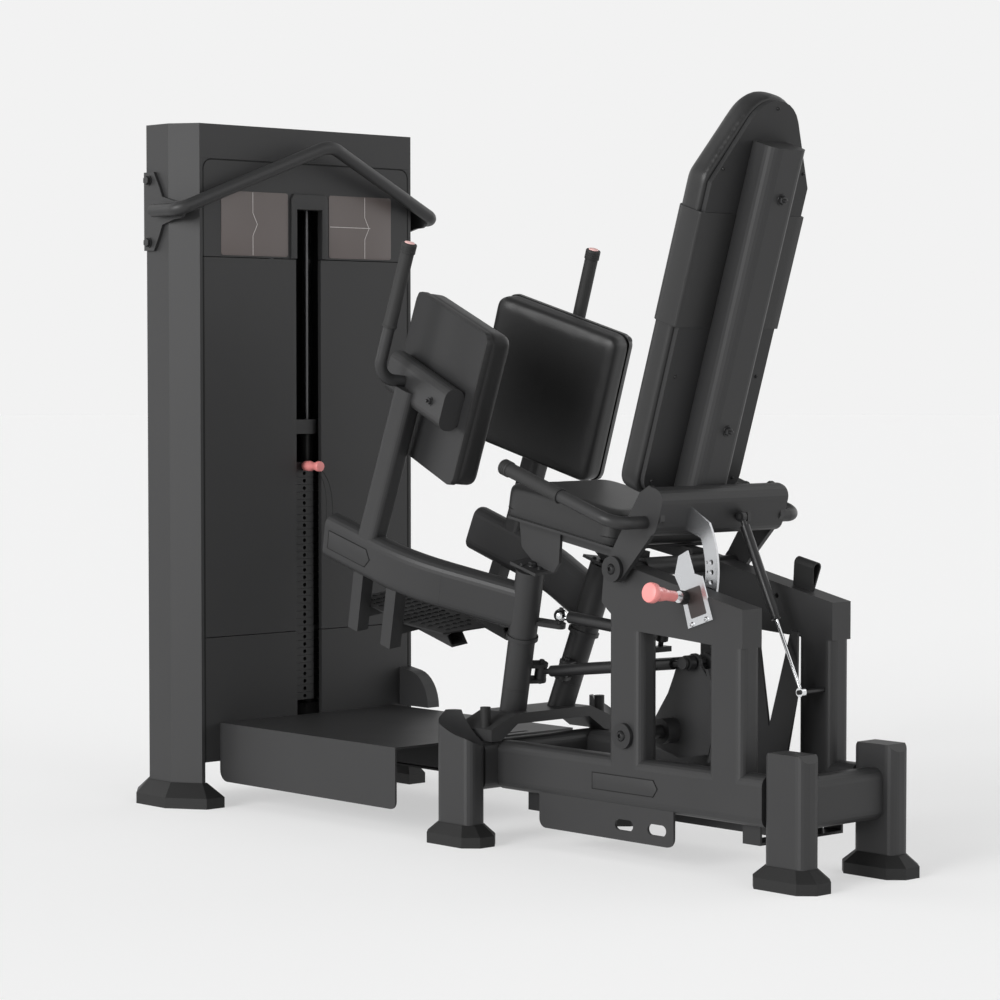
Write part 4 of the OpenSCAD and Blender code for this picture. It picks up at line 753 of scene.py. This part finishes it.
def makeKnobs():
    spec = knobs["selector"]
    r, long = spec["radius"], spec["length"]
    waist = [(r - spec["waist"] * math.sin(math.radians(a)), 12 + 28 * a / 180) for a in range(0, 181, 15)]
    outline = [(0, 0.4), (r - 3.4, 0.2), (r - 1, 0.8), (r, 2.4), (r, 8), *waist, (r, 44), (r - 0.8, long - 3)]
    outline += [(r - 2, long - 0.6), (4.6, long), (0, long)]
    place = moved(0, 752, 831.9) @ turned("X", -90)
    knob = finished("selectorKnob", spun(outline, place), "salmonPlastic", "pin")
    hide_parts("selector_knob")
    tilt = 9
    lockY = -489 + 205 * math.cos(math.radians(198.3))
    lockZ = 645 + 205 * math.sin(math.radians(198.3)) + (172 + 4 - 104) * math.tan(math.radians(tilt))
    axis = moved(-176, lockY, lockZ) @ turned("Y", tilt - 90)
    lock = finished("lockKnob", spun(knobs["lock"], axis @ moved(0, 0, 34.4)), "salmonPlastic", "back_lock")
    finished("lockPlunger", spun(knobs["plunger"], axis), "chromedSteel", "back_lock")
    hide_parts("lock_knob")
    ring = knobs["sleeve"]
    coil = [(0, ring["from"])]
    step = (ring["to"] - ring["from"]) / ring["turns"]
    for i in range(ring["turns"]):
        z = ring["from"] + i * step
        coil += [(ring["radius"], z), (ring["radius"] + 1.6, z + step * 0.25), (ring["radius"] + 1.6, z + step * 0.7)]
    coil += [(ring["radius"], ring["to"]), (0, ring["to"])]
    finished("lockSleeve", spun(coil, axis), "beltRubber", "frame")


makeGrips()
makeKnobs()
print("grips and knobs")

# tower front: placards, the surround of the slot, painted shadow lines round the panels

tower = {"front": 799, "film": 1.2, "left": (-275, -66), "right": (66, 272), "low": 1356, "high": 1514,
         "edge": 329.4, "panelTop": 1589, "ink": (1.4, 0.3)}


def facing(x, y, z):
    # plates drawn in X and Y stand upright on a face that looks to -Y
    return moved(x, y, z) @ toMinusY


def strip(points, width, thick, matrix):
    parts = []
    for (ax, ay), (bx, by) in zip(points, points[1:]):
        run = math.hypot(bx - ax, by - ay)
        turn = turned("Z", math.degrees(math.atan2(by - ay, bx - ax)))
        bar = roundedBox(run + width, width, width * 0.49, 3)
        parts.append(plate(bar, thick, matrix @ moved((ax + bx) / 2, (ay + by) / 2, 0) @ turn, edge=0))
    return joined(parts)


def divider(x):
    # upright line of a placard, with its arrow bend half way
    return [(x, 1512), (x, 1462), (x + 14, 1434), (x, 1406), (x, 1358)]


def makeTowerFront():
    front = tower["front"]
    films, lines = [], []
    midZ, tall = (tower["low"] + tower["high"]) / 2, tower["high"] - tower["low"]
    for x0, x1 in (tower["left"], tower["right"]):
        films.append(plate(roundedBox(x1 - x0, tall, 7), tower["film"], facing((x0 + x1) / 2, front, midZ), 0.4))
    finished("placards", joined(films), "placardFilm", "frame")
    face = facing(0, front - tower["film"], 0)
    x0, x1 = tower["left"]
    lines.append(strip(divider(x0 + 98), *tower["ink"], face))
    x0, x1 = tower["right"]
    lines.append(strip([(x0 + 4, 1435), (x1 - 70, 1435)], *tower["ink"], face))
    lines.append(strip(divider(x0 + 118), *tower["ink"], face))
    finished("placardLines", joined(lines), "placardInk", "frame")
    # painted shadow: dark strips just proud of the front stand for the shade in the narrow gaps beside the panels and
    # round the arch of the upper one
    edge, top, bend = tower["edge"], tower["panelTop"], 24
    corner = [(edge - bend + bend * math.sin(math.radians(a)), top - bend + bend * math.cos(math.radians(a)))
              for a in range(0, 91, 15)]
    ring = [(-x, y) for x, y in [(edge, 1351), *reversed(corner)]] + [*corner, (edge, 1351)]
    shadowGapStrips = [strip(ring, 3.0, 0.35, facing(0, front, 0))]
    shadowGapStrips += [strip([(x, 112), (x, 1350)], 4.4, 0.35, facing(0, front, 0)) for x in (-edge, edge)]
    finished("paintedShadowGaps", joined(shadowGapStrips), "seamThreadAndPaintedShade", "frame")
    outer = [(-58, 1352), (-58, 1500), (-50, 1514), (50, 1514), (58, 1500), (58, 1352)]
    inner = [(40.5, 1352), (40.5, 1475.5), (-40.5, 1475.5), (-40.5, 1352)]
    finished("slotSurround", plate(outer + inner, 7, facing(0, front, 0), 2.0), "charcoalPaint", "frame")


makeTowerFront()


# arrow-ended nameplate areas, left bare

nameplates = {
    "rail": {"from": -597, "to": -398, "height": 36, "z": 174, "x": -172},
    "arm": {"at": (-136, 468, 255), "size": (150, 44)},
    "thick": 1.0, "line": 1.8,
}


def arrowPlate(long, tall, matrix):
    # bare plate with an arrow end, and the dark line of its edge
    outline = [(-long / 2, -tall / 2), (long / 2 - tall * 0.34, -tall / 2), (long / 2, 0),
               (long / 2 - tall * 0.34, tall / 2), (-long / 2, tall / 2)]
    line = strip(outline + outline[:1], nameplates["line"], nameplates["thick"] + 0.2, matrix)
    return plate(outline, nameplates["thick"], matrix, 0.3, 2), line


def makeNameplates():
    spec = nameplates["rail"]
    mid = (spec["from"] + spec["to"]) / 2
    rail, line = arrowPlate(spec["to"] - spec["from"], spec["height"], moved(spec["x"], mid, spec["z"]) @ uprightX)
    finished("railNameplate", rail, "charcoalPaint", "frame")
    finished("railPlateLine", line, "seamThreadAndPaintedShade", "frame")
    for side, flip in sides.items():
        place = flip @ armFrame @ moved(*nameplates["arm"]["at"]) @ uprightX
        face, line = arrowPlate(*nameplates["arm"]["size"], place)
        finished(side + "ArmNameplate", face, "charcoalPaint", side + "_arm")
        finished(side + "ArmPlateLine", line, "seamThreadAndPaintedShade", side + "_arm")


makeNameplates()
print("tower front and nameplates")

# bolts, screws and washers

fasteners = {
    "spine": {"at": (691, 174), "across": 17, "stud": 7},
    "bracket": {"y": -84, "across": 14, "stud": 6},
    "shell": {"at": [(-128, 276), (128, 276), (-126, 735), (126, 735), (-128, 40), (128, 40), (0, 872)], "across": 8},
    "axle": {"at": [(-179, -496, 281), (-203.5, -489, 645)], "across": 22},
    "pivotTop": {"radius": 24, "across": 8, "middle": 17},
}


def makeFasteners():
    spec = fasteners["spine"]
    spine = [hexBolt(spec["across"], backFrame @ moved(0, 14, s) @ toMinusY, spec["stud"]) for s in spec["at"]]
    finished("spineBolts", joined(spine), "blackSteel", "backrest")
    spec = fasteners["shell"]
    shell = [socketScrew(spec["across"], backFrame @ moved(x, 81.4, s) @ toMinusY) for x, s in spec["at"]]
    finished("shellScrews", joined(shell), "blackSteel", "backrest")
    spec = fasteners["bracket"]
    for side, flip in sides.items():
        bolt = hexBolt(spec["across"], flip @ padFrame @ moved(-50, spec["y"], -11) @ toMinusX, spec["stud"])
        finished(side + "BracketBolt", bolt, "blackSteel", side + "_arm")
    spec = fasteners["axle"]
    ends = [socketScrew(spec["across"], flip @ moved(*spot) @ toMinusX)
            for flip in sides.values() for spot in spec["at"]]
    finished("axleSockets", joined(ends), "blackSteel", "frame")
    spec = fasteners["pivotTop"]
    tops = []
    for flip in sides.values():
        for a in (30, 150, 270):
            x, y = spec["radius"] * math.cos(math.radians(a)), spec["radius"] * math.sin(math.radians(a))
            tops.append(hexBolt(spec["across"], flip @ armFrame @ moved(4 + x, y, 359)))
        tops.append(hexBolt(spec["middle"], flip @ armFrame @ moved(4, 0, 359)))
    finished("pivotTopBolts", joined(tops), "blackSteel", "frame")


makeFasteners()

# wave cleats pressed up in the footrests

treads = {"top": 122, "rows": 14, "pitch": 18.5, "first": 226, "wave": 22, "lift": 2.2, "width": 6}


def makeTreads():
    for side, flip in sides.items():
        parts = []
        for row in range(treads["rows"]):
            y = treads["first"] + row * treads["pitch"]
            x0 = -84 if y > 305 else -84 + (305 - y) * 0.62
            cells = int((66 - x0) / treads["wave"])
            for i in range(cells):
                cx = x0 + (i + 0.5) * treads["wave"] + (5 if row % 2 else 0)
                arc = [(cx - 9, y - 3.4), (cx - 5, y), (cx, y + 1.6), (cx + 5, y), (cx + 9, y - 3.4),
                       (cx + 8, y - 6.6), (cx + 4.4, y - 3.6), (cx, y - 2.2), (cx - 4.4, y - 3.6), (cx - 8, y - 6.6)]
                parts.append(plate(arc, treads["lift"], flip @ armFrame @ moved(0, 0, treads["top"]), 0.7, 1))
        finished(side + "TreadCleats", joined(parts), "blackSteel", side + "_arm")


makeTreads()
print("fasteners and cleats")

# lock bracket's label and screws, and the sector's hole numbers

lockLabel = {"middle": (-713, 585), "turn": -18.7, "size": (46, 62), "screws": ((-744, 551), (-703, 537))}


def makeLockLabel():
    y, z = lockLabel["middle"]
    face = moved(-176, y, z) @ uprightX @ turned("Z", -lockLabel["turn"])
    finished("lockLabel", plate(roundedBox(*lockLabel["size"], 3), 0.9, face, 0.3), "darkLabel", "frame")
    parts = [socketScrew(11, moved(-176, y, z) @ toMinusX) for y, z in lockLabel["screws"]]
    finished("lockScrews", joined(parts), "chromedSteel", "frame")


def makeSectorNumbers():
    parts = []
    for i in range(5):
        angle = math.radians(198.3 - 6 * i)
        y, z = -489 + 193 * math.cos(angle), 645 + 193 * math.sin(angle)
        text = bpy.data.curves.new("sectorNumber", "FONT")
        text.body = str(i + 1)
        text.size = 0.009
        text.extrude = 0.0003
        text.align_x = text.align_y = "CENTER"
        holder = bpy.data.objects.new("sectorNumber", text)
        scene.collection.objects.link(holder)
        graph = bpy.context.evaluated_depsgraph_get()
        mesh = bpy.data.meshes.new_from_object(holder.evaluated_get(graph))
        bm = bmesh.new()
        bm.from_mesh(mesh)
        bmesh.ops.remove_doubles(bm, verts=bm.verts, dist=1e-6)
        bpy.data.objects.remove(holder)
        parts.append(placed(bm, moved(-107.2, y, z) @ uprightX))
    finished("sectorNumbers", joined(parts), "darkLabel", "backrest")


makeLockLabel()
makeSectorNumbers()
print("lock label and sector numbers")
